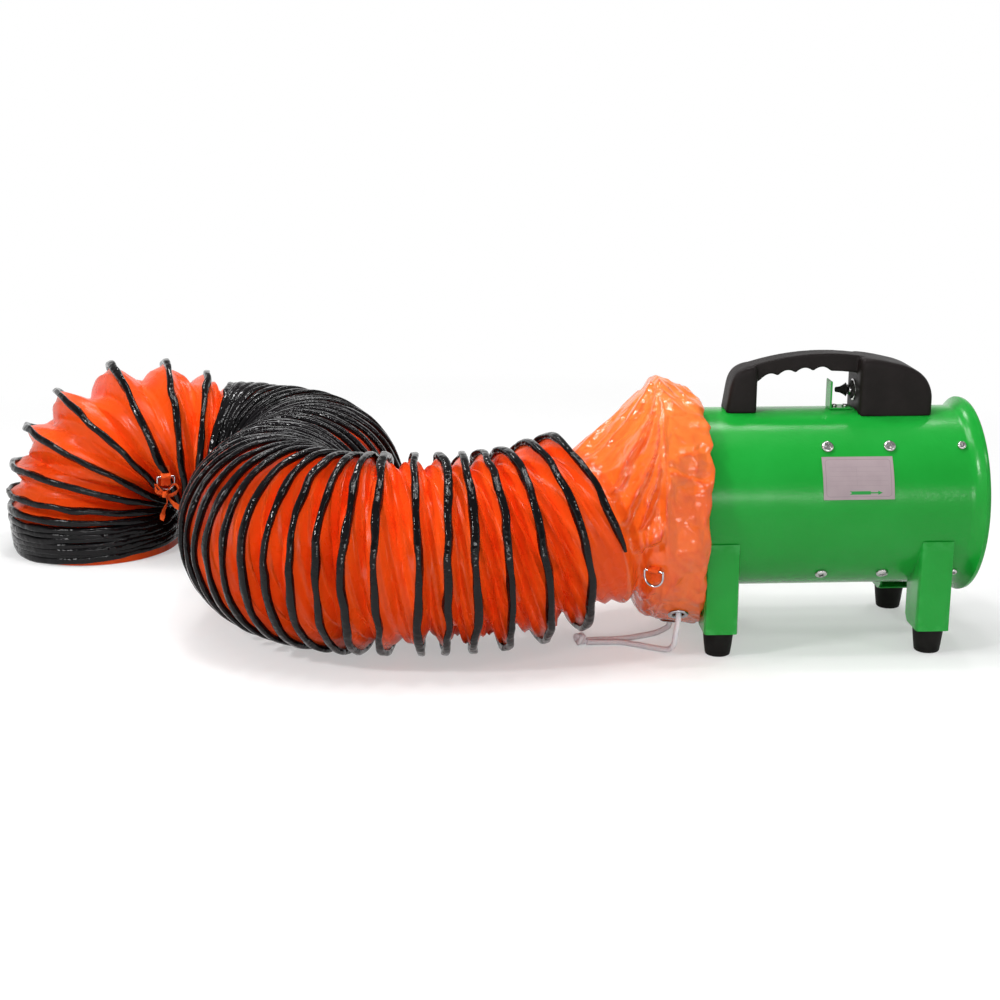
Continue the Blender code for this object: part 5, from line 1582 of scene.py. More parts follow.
@dataclass
class Duct:
    """The flexible duct: a black strip wound on pleated cloth, with a hem at its far mouth."""

    shop: Workshop
    route: DuctRoute = field(default_factory=DuctRoute)
    last_turn: int = 56
    strip_end: float = 56.30
    strip_radius: float = 0.1085
    strip_half: Pair = (0.0041, 0.0034)
    strip_sides: int = 12
    strip_steps: int = 96
    strip_square: float = 0.6
    strip_lift: Wave = Wave(0.0007, 0.043, 1)
    strip_sways: tuple[Wave, ...] = (Wave(0.0013, 0.037, 2), Wave(0.0014, 0.11, 3))
    strip_gap: float = 0.02
    strip_taper: float = 0.035
    lumps: Line = ((0.30, 0.041), (0.10, 0.017))
    bulge: Triple = (0.45, 0.083, 0.45)
    cloth_radius: float = 0.1065
    cloth_width: float = 0.047
    cloth_steps: int = 82
    cloth_across: int = 25
    first_turn: float = -0.46
    closing: Pair = (-0.20, -0.24)
    tuck: Pair = (0.0, -0.25)
    tuck_depth: float = 0.020
    spare: Pair = (1.18, 0.07)
    sag: float = 0.30
    sagging: Pair = (6.5, -3.0)
    calm_gap: float = 0.030
    fan: Triple = (40.5, 50.5, 1.5)
    crest_sway: Wave = Wave(0.20, 0.17, 31)
    depth_sway: Wave = Wave(0.08, 0.23, 32)
    pleat_height: float = 0.0046
    pleat_sway: Wave = Wave(0.6, 0.41, 33)
    pleat_strength: Wave = Wave(0.45, 0.31, 35)
    fine_height: float = 0.0003
    fine_slant: Pair = (6.1, 1.9)
    fine_sway: Wave = Wave(1.7, 0.19, 34)
    pucker: Wave = Wave(0.0006, 0.036, 36)
    hem_wave: Wave = Wave(0.0009, 0.05, 37)
    hem_width: float = 0.012
    floor: Pair = (0.0002, 0.0008)
    pleats: float = 10.25
    shear: float = 0.29
    round_length: float = 0.68

    def strip(self) -> Shape:
        """The strip as one wavy tube along the whole helix.

        Returns:
            The strip.
        """
        turns = np.linspace(0, self.strip_end, round(self.strip_end * self.strip_steps) + 1)
        forward = self.route.stations(turns)[2]
        middle = self.route.helix(turns, self.strip_radius + self.strip_lift.at(turns))
        apart = np.linalg.norm(self.route.helix(turns + 1, self.strip_radius) - middle, axis=1)
        free = np.clip(apart / self.strip_gap, 0.25, 1.2)
        middle += (free * sum(wave.at(turns) for wave in self.strip_sways))[:, None] * forward
        ahead = unit(np.gradient(middle, axis=0))
        across = unit(np.cross(ahead, self.route.outward(turns)))
        upward = np.cross(across, ahead)
        wide, high = self.strip_half
        coarse, slight = self.lumps
        bulge, pitch, least = self.bulge
        taper = 0.35 + 0.65 * ramp(np.minimum(turns, self.strip_end - turns), 0, self.strip_taper)
        rows = []
        for side in range(self.strip_sides):
            angle = math.tau * (side + 0.5) / self.strip_sides
            flat = [math.copysign(abs(way) ** self.strip_square, way) for way in (math.cos(angle), math.sin(angle))]
            lump = 1 + Wave(*coarse, 10 + side // 3).at(turns) + Wave(*slight, 20 + side // 2).at(turns)
            lump = lump + bulge * np.clip(wander(turns, pitch, 14 + side // 6) - least, 0, 1)
            lump = lump * taper
            rows.append(
                middle
                + (lump * wide * flat[0])[:, None] * across
                + ((0.5 + 0.5 * lump) * high * flat[1])[:, None] * upward
            )
        points = np.stack(rows, axis=1)
        points[..., 2] = np.maximum(points[..., 2], self.floor[0])
        return Shape.grid(points, ring=True, caps=True)

    def fanned(self, turns: Array) -> Array:
        """1 where the far end fans open, and 0 elsewhere."""
        start, end, run = self.fan
        return ramp(turns, start, run) * ramp(turns, end, -run)

    def cloth(self) -> Shape:
        """The cloth between the turns, folded in by its slack, with slanting pleats.

        Returns:
            The cloth up to the far mouth's hem.
        """
        first, last = self.first_turn, self.last_turn - 1
        rows = np.linspace(first - self.shear / 2, last + self.shear / 2, round((last - first) * self.cloth_steps))
        across = np.linspace(0, 1, self.cloth_across)[None, :]
        turns = np.clip(rows[:, None] + self.shear * (across - 0.5), first, last)
        start = smooth(ramp(turns, *self.closing))
        share = start + (1 - start) * across
        tuck = ramp(turns, *self.tuck)
        low = self.route.helix(turns, self.cloth_radius - self.tuck_depth * tuck)
        high = self.route.helix(turns + 1, np.full(turns.shape, self.cloth_radius))
        apart = np.linalg.norm(high - low, axis=-1)
        beneath = np.clip(-np.sin(math.tau * turns), 0, 1)
        near_end = ramp(turns, *self.sagging)
        fanned = self.fanned(turns)
        width = np.maximum(self.cloth_width, (self.spare[0] + self.spare[1] * fanned) * apart)
        slack = np.sqrt((width * (1 + self.sag * beneath * near_end)) ** 2 - apart**2) / 2
        crest = 0.5 + self.crest_sway.at(turns) * (1 - tuck) + 0.18 * beneath * near_end + 0.10 * tuck
        flank = np.where(share < crest, share / crest, (1 - share) / (1 - crest))
        full = 0.25 + 0.75 * ramp(turns, -0.02, 0.25) + 0.45 * ramp(turns, -0.04, -0.12)
        depth = full * (0.92 + self.depth_sway.at(turns)) * slack * flank**0.9
        window = np.sin(math.pi * share) ** 0.55
        calm = np.clip(apart / self.calm_gap, 0.15, 1.3) * full
        steps = np.linspace(first, last, 4096)
        wide = np.concatenate(([0.0], np.cumsum(self.fanned(steps[1:])))) * (steps[1] - steps[0])
        count = self.pleats * (turns - 0.5 * np.interp(turns, steps, wide))
        slant = self.shear * self.pleats * (1 - 0.5 * fanned) * (share - 0.5) - count + self.pleat_sway.at(turns)
        fine = self.fine_slant[0] * (share - 0.5) - self.fine_slant[1] * count + self.fine_sway.at(turns)
        strength = 0.80 + self.pleat_strength.at(turns)
        pleat = window * calm * (self.pleat_height * strength * zigzag(slant) + self.fine_height * zigzag(fine))
        pucker = self.pucker.at(turns) * np.sin(math.tau * share) ** 2
        outward = self.route.outward(turns, turns + share)
        points = low * (1 - share[..., None]) + high * share[..., None]
        points += (pleat + pucker - depth)[..., None] * outward
        points[..., 2] = np.maximum(points[..., 2], self.floor[1])
        lay = np.stack((turns * self.round_length, share * self.cloth_width), axis=-1)
        return Shape.grid(points, lay=lay)

    def hem(self) -> Shape:
        """The cloth's last turn, from the strip down to the floor at the far mouth.

        Returns:
            The hem.
        """
        turns = np.linspace(self.last_turn - 1, self.strip_end, self.cloth_steps)
        top, foot = (self.route.helix(turns, self.cloth_radius + np.full(len(turns), out)) for out in (0, 0.0012))
        foot[:, 2] = 0.0006
        share = np.linspace(0, 1, 5)[None, :, None]
        points = top[:, None] * (1 - share) + foot[:, None] * share
        wave = self.hem_wave.at(turns)[:, None] * share[..., 0]
        points += wave[..., None] * self.route.outward(turns)[:, None]
        lay = spread(turns[:, None] * self.round_length, share[..., 0] * self.hem_width)
        return Shape.grid(points, lay=lay)

    def build(self) -> None:
        """Makes the strip and the cloth."""
        whole = self.cloth() + self.hem()
        cloth = self.shop.piece("duct_cloth", whole, DUCT_CLOTH, Body.DUCT, ["duct_hose"], 38.0, False)
        self.shop.piece("duct_strip", self.strip(), STRIP, Body.DUCT, (), SMOOTH_ALL)


@dataclass(frozen=True)
class Fold:
    """A fold that stands off the cuff along a line of points: degrees round it, and the level from hem to neck."""

    height: float
    half: float
    line: Line
    crown: float = 0.0012
    ends: Pair = (0.15, 0.20)

    def rise(self, rows: Array, steps: int) -> Array:
        """How far the fold lifts each point of the cuff.

        Args:
            rows: the cuff's rings of points before folding.
            steps: the rings to a level.

        Returns:
            The heights.
        """
        line = spline(self.line, 12)
        columns = rows.shape[1]
        column = np.rint(line[:, 0] / 360 * columns).astype(int) % columns
        path = rows[np.rint(line[:, 1] * steps).astype(int), column]
        reach = np.linalg.norm(rows[:, :, None] - path, axis=-1)
        place = reach.argmin(axis=-1) / (len(path) - 1)
        away = np.sqrt(reach.min(axis=-1) ** 2 + self.crown**2) - self.crown
        taper = ramp(place, 0, self.ends[0]) * ramp(place, 1, -self.ends[1]) ** 0.8
        return self.height * taper * np.clip(1 - away / self.half, 0, 1)


@dataclass
class Sleeve:
    """The loose cuff that draws the duct over the casing's bell, with its eyelets and drawcord."""

    shop: Workshop
    route: DuctRoute = field(default_factory=DuctRoute)
    columns: int = 360
    steps: int = 15
    turned_in: Pair = (-0.1475, 0.006)
    hem: Row = (-0.1365, 0.0096, 0.0066, 0.0336)
    rows: tuple[Row, ...] = (
        (-0.150, 0.0146, 0.0136, 0.0331),
        (-0.174, 0.0176, 0.0236, 0.0300),
        (-0.186, 0.0180, 0.0246, 0.0236),
        (-0.200, 0.0106, 0.0086, 0.0096),
    )
    folds: tuple[Fold, ...] = (
        Fold(0.009, 0.013, ((91, 5.3), (98, 5.93), (102, 6.18), (103, 6.4), (107, 6.9))),
        Fold(0.011, 0.011, ((103, 5.05), (120, 5.88), (128, 6.23), (134, 6.55), (146, 6.85))),
        Fold(0.012, 0.010, ((117, 5.15), (138, 5.65), (150, 6.2), (159, 6.75), (170, 7.2))),
        Fold(0.009, 0.008, ((134, 5.05), (148, 5.5), (161, 5.9), (171, 6.4), (180, 7.0))),
        Fold(0.013, 0.014, ((178, 4.9), (183, 5.5), (185, 6.1), (182, 6.6), (186, 7.1))),
        Fold(0.010, 0.013, ((198, 4.85), (207, 5.3), (219, 5.75), (230, 6.4), (240, 7.0))),
        Fold(0.008, 0.014, ((222, 5.1), (236, 5.6), (246, 6.2), (256, 6.9))),
    )
    far_folds: tuple[int, ...] = (248, 270, 291, 311, 334, 352, 370, 389, 406)
    fold_lean: float = 0.42
    fold_depth: float = 0.0060
    far_line: Line = ((0, 5.05), (13, 5.7), (24, 6.3), (35, 7.1))
    neck: tuple[Triple, ...] = ((-0.40, 0.0950, 0.017), (-0.03, 0.1045, 0.003), (0.16, 0.0900, 0.0))
    neck_joint: Pair = (1.62, 1.90)
    neck_levels: Line = ((4.95, 0.45), (7.4, -0.9))
    neck_wrinkles: Pair = (0.0040, 0.0020)
    band_levels: Line = ((2.0, 0.8), (5.0, -0.5))
    band_wrinkles: Pair = (0.0048, 0.0026)
    wrinkles: tuple[tuple[int, ...], ...] = ((32, 18, 42, 51), (74, 30, 95, 54))
    sole_dip: float = 0.012
    sag: float = 0.013
    sag_levels: Line = ((4.6, 1.2), (7.2, -1.2))
    hem_level: Pair = (2.0, 0.6)
    hem_waves: tuple[Wave, ...] = (Wave(0.0020, 1 / 33, 57), Wave(0.0014, 1 / 71, 58))
    hem_ruffles: tuple[Wave, ...] = (
        Wave(0.0026, 1 / 17, 55), Wave(0.0036, 1 / 41, 56), Wave(0.0018, 1 / 90, 59),
    )
    crossing_at: float = 0.425
    crossing_pull: Pair = (0.0042, 0.035)
    crossing_dent: Triple = (0.78, 0.006, 0.0030)
    calm_reach: Pair = (0.012, 0.014)
    bell_room: float = 0.0015
    floor: float = 0.0012
    seam_radius: float = 0.125
    seam_level: float = 5.0
    eyelet_hole: float = 0.0078
    eyelet_sink: float = 0.0008
    eyelet_middle: Pair = (0.0012, 0.0090)
    eyelet_roll: Pair = (0.0013, 0.0024)
    braid_sides: int = 24
    braid_pitch: float = 0.013
    knot_size: Triple = (0.00165, 0.00150, 0.0036)
    knot_radius: float = 0.0030
    cord_radius: float = 0.0032
    cord_start: float = 0.004
    cord_spacing: float = 0.0008
    knot_at: Triple = (-0.2669, -0.0455, 0.0078)
    cord_routes: tuple[tuple[Triple, ...], ...] = (
        ((-0.1655, -0.0840, 0.024), (-0.1670, -0.0830, 0.013), (-0.1725, -0.0770, 0.0050),
         (-0.188, -0.066, 0.0034), (-0.205, -0.055, 0.0034), (-0.222, -0.0465, 0.0034), (-0.242, -0.0455, 0.0034),
         (-0.2597, -0.0488, 0.0048)),
        ((-0.1670, -0.0170, 0.0085), (-0.178, -0.0190, 0.0042), (-0.195, -0.0260, 0.0034),
         (-0.212, -0.0330, 0.0034), (-0.230, -0.0365, 0.0034), (-0.246, -0.0365, 0.0034),
         (-0.2598, -0.0420, 0.0048)),
    )

    def eyelet_seat(self, number: int) -> tuple[Array, Array]:
        """Where an eyelet's solid sits, and the direction that it faces.

        Args:
            number: 1 or 2.

        Returns:
            The middle of its seat and its outward direction.
        """
        solid = frame["nodes"][f"sleeve_eyelet_{number}"]
        points = np.array([vertex.co for vertex in solid.data.vertices])
        middle = (points.min(axis=0) + points.max(axis=0)) / 2
        normal = np.linalg.svd(points - points.mean(axis=0), full_matrices=False)[2][2]
        if normal @ (middle - (middle[0], 0, AXIS_HEIGHT)) < 0:
            normal = -normal
        return middle - self.eyelet_sink * normal, normal

    def ring(self, sizes: Row, angle: Array) -> Array:
        """A section of the cuff that stands off the bell by its slack.

        Args:
            sizes: its x, and its slack beside, above and below.
            angle: the angles of its points.

        Returns:
            The points.
        """
        x, beside, above, below = sizes
        top, bottom = AXIS_HEIGHT + BELL_RADIUS + above, AXIS_HEIGHT - BELL_RADIUS - below
        across = (BELL_RADIUS + beside) * np.cos(angle)
        height = (top + bottom) / 2 + (top - bottom) / 2 * np.sin(angle)
        return spread(x, across, height)

    def lengthwise(self, rows: Array) -> Array:
        """The mean length of the cuff from its turned-in edge to each ring of points."""
        return np.concatenate(([0.0], np.cumsum(np.linalg.norm(np.diff(rows, axis=0), axis=2).mean(axis=1))))

    def cloth(self) -> Shape:
        """The cuff, from its turned-in hem to its neck inside the duct's first turn.

        Returns:
            The sheet of cloth.
        """
        angle = around(self.columns)
        x, room = self.turned_in
        height = AXIS_HEIGHT - room + (CASING_RADIUS + room) * np.sin(angle)
        inner = spread(x, (CASING_RADIUS + room) * np.cos(angle), height)
        edge = self.ring(self.hem, angle)
        knots = [inner, inner * 0.5 + edge * 0.5 + (0.004, 0, 0), edge]
        knots += [self.ring(row, angle) for row in self.rows]
        low, high = self.neck_joint
        wound = 0.5 - angle / math.tau + smooth(ramp(angle / math.pi, low, high - low))
        crown, sole = (np.clip(way * np.sin(angle), 0, 1) ** 2 for way in (1, -1))
        for turn, radius, dip in self.neck:
            middle, sideways, _, upward = self.route.stations(wound + turn)
            ring = np.cos(angle)[:, None] * sideways + np.sin(angle)[:, None] * upward
            knots.append(middle + (radius - dip * crown - self.sole_dip * sole)[:, None] * ring)
        rows = spline(knots, self.steps)
        level = np.linspace(0, len(knots) - 1, len(rows))[:, None]
        turn = np.degrees(angle)[None, :] / 360 + 0 * level
        outward = rows - rows.mean(axis=1, keepdims=True)
        outward[..., 0] *= 0.2
        outward = unit(outward)
        onward = unit(np.roll(rows, -1, axis=1) - np.roll(rows, 1, axis=1))
        calm = np.ones_like(turn)
        spots = [self.eyelet_seat(number)[0] for number in (1, 2)]
        spots.append(next(item for item in frame["joints"] if item["name"] == "sleeve_ring_swing")["pos_m"])
        for spot in spots:
            calm = calm * ramp(np.linalg.norm(rows - np.array(spot), axis=-1), *self.calm_reach)
        neck, band = (
            ramp(level, *start) * ramp(level, *end) for start, end in (self.neck_levels, self.band_levels)
        )
        folded = np.zeros_like(turn)
        for fold in (*self.folds, *self.rear()):
            folded = np.maximum(folded, fold.rise(rows, self.steps))
        creased = folded - self.fold_depth
        run = self.lengthwise(rows)[:, None]
        small, fine = (
            facets(wide * turn - slant * run, long * run, seed) for wide, slant, long, seed in self.wrinkles
        )
        hem = np.exp(-(((level - self.hem_level[0]) / self.hem_level[1]) ** 2))
        sag = np.clip(-np.sin(math.tau * turn) - 0.35, 0, 1) * ramp(level, *self.sag_levels[0])
        under = 1 - 0.75 * np.clip(-1.6 * np.sin(math.tau * turn) - 0.6, 0, 1)
        coarse, slight = self.neck_wrinkles
        shift = neck * (creased + under * (coarse * small + slight * fine))
        coarse, slight = self.band_wrinkles
        shift = shift + band * under * (coarse * small + slight * fine)
        shift = shift + self.sag * sag * ramp(level, *self.sag_levels[1])
        shift = shift + hem * sum(wave.at(turn) for wave in self.hem_waves)
        girth, half, dent = self.crossing_dent
        crossing = np.abs((turn - self.crossing_at) * girth) / half
        shift = shift - dent * band * np.clip(1 - crossing, 0, 1)
        rows = rows + (shift * calm)[..., None] * outward
        rows = rows + (self.fold_lean * neck * folded * calm)[..., None] * onward
        pull, half = self.crossing_pull
        pulled = pull * np.exp(-(((turn - self.crossing_at) / half) ** 2))
        rows[..., 0] += hem * sum((wave.at(turn) for wave in self.hem_ruffles), pulled)
        radial = rows - (0, 0, AXIS_HEIGHT)
        room = np.where((rows[..., 0] > -HALF_LENGTH - 0.004) & (level > 1.5), BELL_RADIUS + self.bell_room, 0.0)
        grow = np.maximum(1, room / np.hypot(radial[..., 1], radial[..., 2]))
        rows[..., 1] *= grow
        rows[..., 2] = np.maximum(AXIS_HEIGHT + radial[..., 2] * grow, self.floor)
        rows = np.concatenate((rows, rows[:, :1]), axis=1)
        along = self.lengthwise(rows)
        along -= np.interp(self.seam_level, level[:, 0], along)
        round_seam = np.linspace(0, math.tau * self.seam_radius, self.columns + 1)
        lay = spread(round_seam[None, :], along[:, None])
        return Shape.grid(rows, lay=lay).pierced(spots[:2], self.eyelet_hole)

    def rear(self) -> list[Fold]:
        """The folds at the back and underneath, twisted the same way as those in front.

        Returns:
            The folds.
        """
        made = []
        for number, start in enumerate(self.far_folds):
            line = tuple((start + turn, level) for turn, level in self.far_line)
            made.append(Fold(0.0075 + 0.0030 * math.sin(2.3 * number), 0.0115 + 0.002 * math.cos(1.7 * number), line))
        return made

    def eyelet(self) -> Shape:
        """A rolled eyelet on the XY plane.

        Returns:
            The eyelet.
        """
        (high, out), (rise, wide) = self.eyelet_middle, self.eyelet_roll
        profile = [(high + rise * math.sin(turn), out - wide * math.cos(turn)) for turn in around(14)]
        return Shape.lathe(profile, 40, loop=True)

    def braid(self, path: Array, radius: float, closed: bool = False) -> Shape:
        """A braided cord along a path.

        Args:
            path: the points of its middle, close together.
            radius: its radius.
            closed: whether the path returns to its start.

        Returns:
            The cord.
        """
        angle = around(self.braid_sides)
        wind = math.tau * travel(path)[:, None] / self.braid_pitch
        strands = [np.abs(np.sin(2 * angle[None, :] + way * wind)) for way in (1, -1)]
        reach = radius * (0.90 + 0.10 * np.maximum(*strands))
        return Shape.tube(path, reach, self.braid_sides, closed)

    def build(self) -> None:
        """Makes the knot first, then the cords, the eyelets and the cloth."""
        turn = around(160)
        loop = spread(np.sin(turn) + 2 * np.sin(2 * turn), np.cos(turn) - 2 * np.cos(2 * turn), -np.sin(3 * turn))
        braid = self.braid(loop * self.knot_size + self.knot_at, self.knot_radius, True)
        knot = self.shop.piece("cord_knot", braid, CORD, Body.DUCT, ["drawcord_knot"], 60.0)
        for number, points in enumerate(self.cord_routes, 1):
            seat, normal = self.eyelet_seat(number)
            way = spline([seat - self.cord_start * normal, seat + 2 * self.cord_radius * normal, *points], 16)
            way = evenly(way, self.cord_spacing)
            cord = self.shop.piece(f"drawcord_strand_{number}", self.braid(way, self.cord_radius), CORD, Body.DUCT,
                                   [f"drawcord_{number}"], 60.0)
            turned = Vector((0, 0, 1)).rotation_difference(Vector(normal)).to_matrix().to_4x4()
            eyelet = self.eyelet().moved(Matrix.Translation(seat) @ turned)
            self.shop.piece(f"rolled_eyelet_{number}", eyelet, CHROME, Body.DUCT, [f"sleeve_eyelet_{number}"])
        cloth = self.cloth()
        cuff = self.shop.piece("sleeve_cuff", cloth, SLEEVE_CLOTH, Body.DUCT, ["duct_sleeve"], SMOOTH_ALL, False)


@dataclass
class Rings:
    """The two D-rings in their webbing loops, and the bow of the tie strap."""

    shop: Workshop
    wire: float = 0.0013
    half: float = 0.011
    arm: float = 0.006
    tab_depth: float = 0.0060
    tab_width: float = 0.0125
    tab_thickness: float = 0.0011
    tab_line: Line = ((-0.0026, -0.0005), (0, 0.0030), (0.0026, -0.0005))
    tab_tail: Pair = (0.013, 0.0035)
    tab_lift: float = 0.0006
    strap: Pair = (0.0068, 0.0009)
    strap_lines: tuple[tuple[Triple, ...], ...] = (
        ((0, 0, 0), (0.006, -0.004, 0.008), (0.013, -0.005, 0.014), (0.017, -0.004, 0.008),
         (0.012, -0.003, 0.001), (0.004, -0.002, -0.002), (0, 0, 0)),
        ((0, 0, 0), (-0.006, -0.004, 0.007), (-0.011, -0.004, 0.013), (-0.010, -0.003, 0.004), (0, 0, 0)),
        ((0, 0, 0), (0.002, -0.003, -0.010), (-0.003, -0.004, -0.022), (-0.006, -0.003, -0.034)),
        ((0, 0, 0), (0.006, -0.002, -0.008), (0.013, -0.003, -0.015), (0.019, -0.002, -0.019)),
    )
    band: Pair = (0.0070, 0.0012)
    band_radii: Pair = (0.0034, 0.0042)
    band_y: float = -0.002
    bow_at: Triple = (0.002, 0.0, 0.002)
    bow_drop: float = 0.022

    def place(self, joint: str) -> tuple[Matrix, Matrix]:
        """Where a ring hangs.

        Args:
            joint: the name of its joint.

        Returns:
            The frame of the hanging ring, with its bar on X, and that of its loop, with Z outwards.
        """
        found = next(item for item in frame["joints"] if item["name"] == joint)
        bar = Vector(found["axis"]).normalized()
        outward = Vector((-bar.y, bar.x, 0))
        spot = Matrix.Translation(found["pos_m"])
        hanging = Matrix((bar, Vector((0, 0, 1)).cross(bar), Vector((0, 0, 1)))).transposed().to_4x4()
        standing = Matrix((bar, outward.cross(bar), outward)).transposed().to_4x4()
        return spot @ hanging, spot @ standing

    def ring(self) -> Shape:
        """A D of wire with its bar along X, hanging down -Z.

        Returns:
            The ring.
        """
        line = [(-self.half, 0, 0), (self.half, 0, 0)]
        for angle in np.linspace(0, math.pi, 25):
            line.append((self.half * math.cos(angle), 0, -self.arm - self.half * math.sin(angle)))
        path = evenly(np.array(line + line[:1]), 0.0012)[:-1]
        return Shape.tube(path, self.wire, 12, closed=True)

    def loop(self) -> Shape:
        """The webbing round a ring's bar, with its tails on the cloth behind.

        Returns:
            The loop.
        """
        far, near = self.tab_tail
        tail = ((far, -self.tab_depth), (near, -self.tab_depth + self.tab_lift))
        line = [*((-y, z) for y, z in tail), *self.tab_line, *tail[::-1]]
        path = eased([(0, y, z) for y, z in line], 0.0028, 6)
        return Shape.ribbon(evenly(path, 0.0006), np.array((1, 0, 0)), self.tab_width, self.tab_thickness)

    def bow(self, middle: Vector) -> Shape:
        """A bow of webbing tied at a point.

        Args:
            middle: the bow's knot.

        Returns:
            The two loops, the tails and the knot.
        """
        parts = []
        for number, line in enumerate(self.strap_lines):
            path = evenly(spline(line, 10), 0.0012) + np.array(middle)
            twist = np.linspace(0.3, 1.1 + 0.3 * number, len(path))
            parts.append(Shape.ribbon(path, spread(0.25 * np.cos(twist), -np.cos(twist), np.sin(twist)), *self.strap))
        turn = np.linspace(0, math.tau, 25)
        wide, high = self.band_radii
        band = spread(wide * np.cos(turn), self.band_y + high * np.sin(turn), 0 * turn) + np.array(middle)
        return joined([*parts, Shape.ribbon(band, np.array((0.2, 0, 1.0)), *self.band)])

    def build(self) -> None:
        """Makes the rings, their loops and the bow."""
        for node, joint, body in (
            ("sleeve", "sleeve_ring_swing", Body.SLEEVE_RING), ("strap", "strap_ring_swing", Body.STRAP_RING)
        ):
            hanging, standing = self.place(joint)
            self.shop.piece(f"wire_d_ring_{node}", self.ring().moved(hanging), CHROME, body, [f"d_ring_{node}"])
            stands_for = ["duct_tie_strap"] if node == "strap" else []
            shape = self.loop().moved(standing)
            if stands_for:
                shape = shape + self.bow(standing @ Vector(self.bow_at) - Vector((0, 0, self.bow_drop)))
            self.shop.piece(f"webbing_{node}", shape, WEBBING, Body.DUCT, stands_for, 60.0)


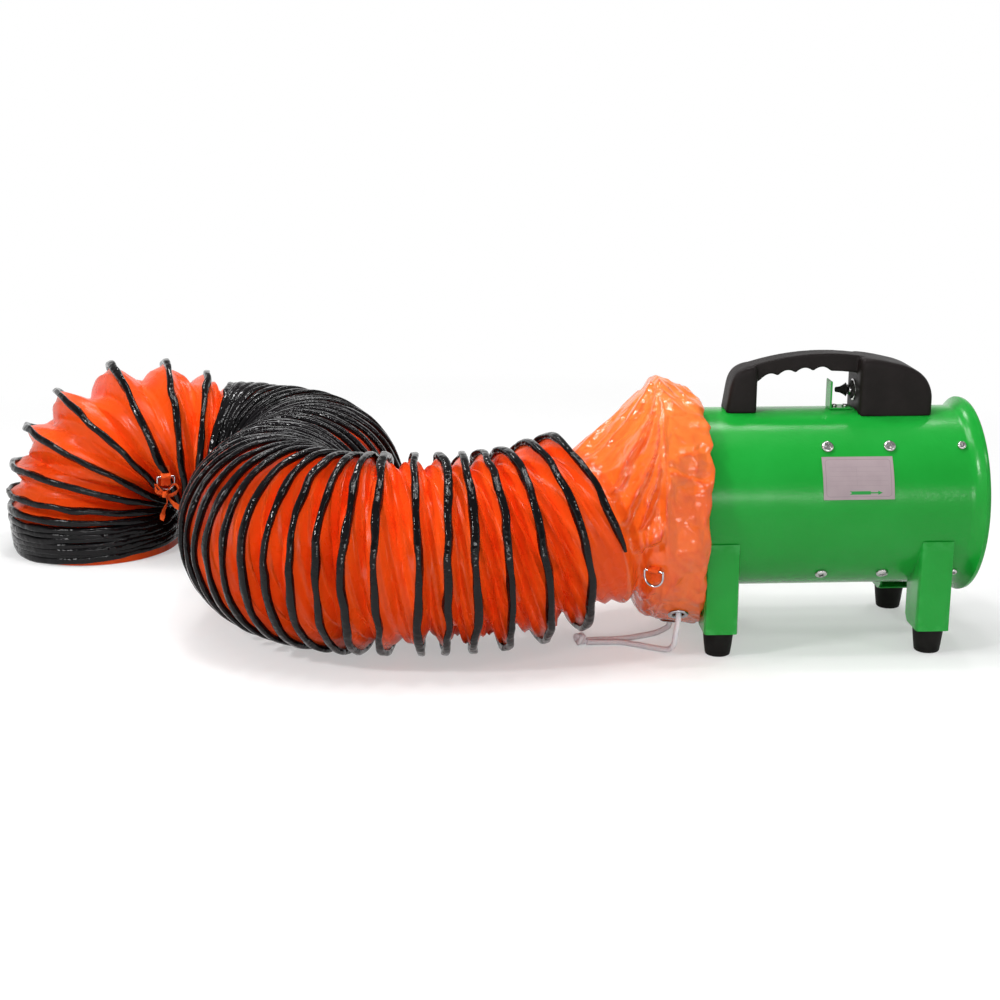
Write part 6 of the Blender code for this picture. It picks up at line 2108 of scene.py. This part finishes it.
@dataclass
class Studio:
    """The camera, the pale floor and the soft lights."""

    eye: Triple = (-0.4442, -1.7899, 0.6278)
    pitch: float = math.radians(75.311)
    heading: float = math.radians(-2.866)
    lens: float = 59.4
    sensor: float = 36.0
    clip_end: float = 100.0
    ambient: float = 0.26
    horizon: Pair = (math.radians(17), math.radians(24))
    fill: float = 0.25
    floor_grey: float = 0.62
    floor_lift: float = 0.40
    floor_middle: Pair = (-0.42, 0.12)
    floor_fade: Pair = (0.75, 1.55)
    lights: tuple[tuple[Triple, Triple, float, float, float], ...] = (
        ((-0.45, 0.05, 2.2), (-0.42, 0.12, 0.1), 1.3, 0.6, 13.0),
        ((-1.05, -0.15, 2.0), (-0.85, 0.10, 0.1), 0.12, 0.12, 3.2),
        ((-0.70, 0.35, 2.0), (-0.60, 0.20, 0.1), 0.12, 0.12, 3.2),
        ((-0.35, -0.20, 2.0), (-0.38, 0.05, 0.1), 0.12, 0.12, 3.2),
        ((-0.05, 0.30, 2.0), (-0.18, 0.05, 0.1), 0.12, 0.12, 3.2),
        ((-2.1, -1.0, 1.7), (-0.4, 0.0, 0.1), 0.30, 0.30, 25.0),
        ((1.5, -1.2, 1.9), (-0.1, 0.0, 0.15), 0.30, 0.30, 7.0),
        ((-0.9, 1.6, 2.1), (-0.5, 0.1, 0.1), 0.34, 0.34, 9.0),
        ((0.5, 0.9, 2.2), (-0.2, 0.0, 0.1), 0.30, 0.30, 6.0),
        ((-0.2, -3.0, 0.80), (-0.2, 0.0, 0.16), 1.9, 0.30, 22.5),
    )

    def camera(self) -> None:
        """The camera at the photograph's place."""
        data = bpy.data.cameras.new("camera")
        data.lens = self.lens
        data.sensor_width = self.sensor
        data.clip_end = self.clip_end
        made = placed("camera", data)
        made.location = self.eye
        made.rotation_euler = (self.pitch, 0, self.heading)
        bpy.context.scene.camera = made

    def floor(self) -> None:
        """A pale floor that fades to plain white far from the object."""
        radii = np.concatenate(([0.0], np.geomspace(0.3, 40.0, 24)))
        shape = Shape.lathe([(-0.0002, radius) for radius in radii], 64)
        made = placed("floor", shape.mesh("floor", False))
        graph = Graph(bpy.data.materials.new("pale_floor"))
        speckle = graph.contrast(graph.noise(30.0, 4.0), 0.3, 0.7)
        pale = (self.floor_grey,) * 3
        graph.shade({"Base Color": graph.mix(speckle, pale, tuple(0.97 * grey for grey in pale)), "Roughness": 0.9})
        graph.shade({"Specular IOR Level": 0.1})
        seen = graph.seen()
        middle = (*self.floor_middle, 0.0)
        far = graph.node("ShaderNodeVectorMath", {"operation": "DISTANCE"}, {0: graph.place(), 1: middle}, "Value")
        low, high = self.floor_fade
        fade = graph.contrast(far / (2 * high), low / (2 * high), 0.5)
        lift = graph.node("ShaderNodeEmission", None, {"Strength": seen * self.floor_lift})
        white = graph.node("ShaderNodeEmission", None, {"Strength": seen * (1 - self.fill) + self.fill})
        base = Signal(graph, graph.shader.outputs[0])
        near = graph.node("ShaderNodeAddShader", None, {0: base, 1: lift})
        both = graph.node("ShaderNodeMixShader", None, {0: fade, 1: near, 2: white})
        graph.tree.links.new(both.socket, graph.tree.nodes["Material Output"].inputs["Surface"])
        made.data.materials.append(graph.owner)

    def sky(self) -> None:
        """Soft light from all round: white near the horizon and dim overhead."""
        world = bpy.data.worlds.new("studio")
        bpy.context.scene.world = world
        graph = Graph(world)
        way = graph.node("ShaderNodeTexCoord", output="Generated")
        rise = graph.node("ShaderNodeSeparateXYZ", None, {0: way}, 2)
        low, high = (math.sin(angle) for angle in self.horizon)
        white = graph.seen() * (1 - self.fill) + self.fill
        overhead = graph.contrast(rise, low, high)
        graph.shade({"Strength": white * (1 - overhead) + overhead * self.ambient})
        graph.shade({"Color": (1.0, 1.0, 1.0, 1.0)})

    def build(self) -> None:
        """Makes the camera, the floor, the background and the lights."""
        self.camera()
        self.floor()
        self.sky()
        for number, (place, target, width, depth, power) in enumerate(self.lights, 1):
            data = bpy.data.lights.new(f"softbox_{number}", "AREA")
            data.shape = "RECTANGLE"
            data.size, data.size_y, data.energy = width, depth, power
            made = placed(data.name, data)
            made.location = place
            made.rotation_euler = (Vector(target) - Vector(place)).to_track_quat("-Z", "Y").to_euler()
        bpy.context.scene.view_settings.view_transform = "Standard"


def main() -> None:
    """Builds the scene."""
    logging.basicConfig(level=logging.INFO, format="%(name)s %(message)s")
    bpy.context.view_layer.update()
    shop = Workshop()
    Studio().build()
    Sleeve(shop).build()
    Duct(shop).build()
    Rings(shop).build()
    Casing(shop).build()
    Handle(shop).build()
    Switch(shop).build()
    Screws(shop).build()
    RatingPlate(shop).build()
    Motor(shop).build()


if __name__ == "__main__":
    main()
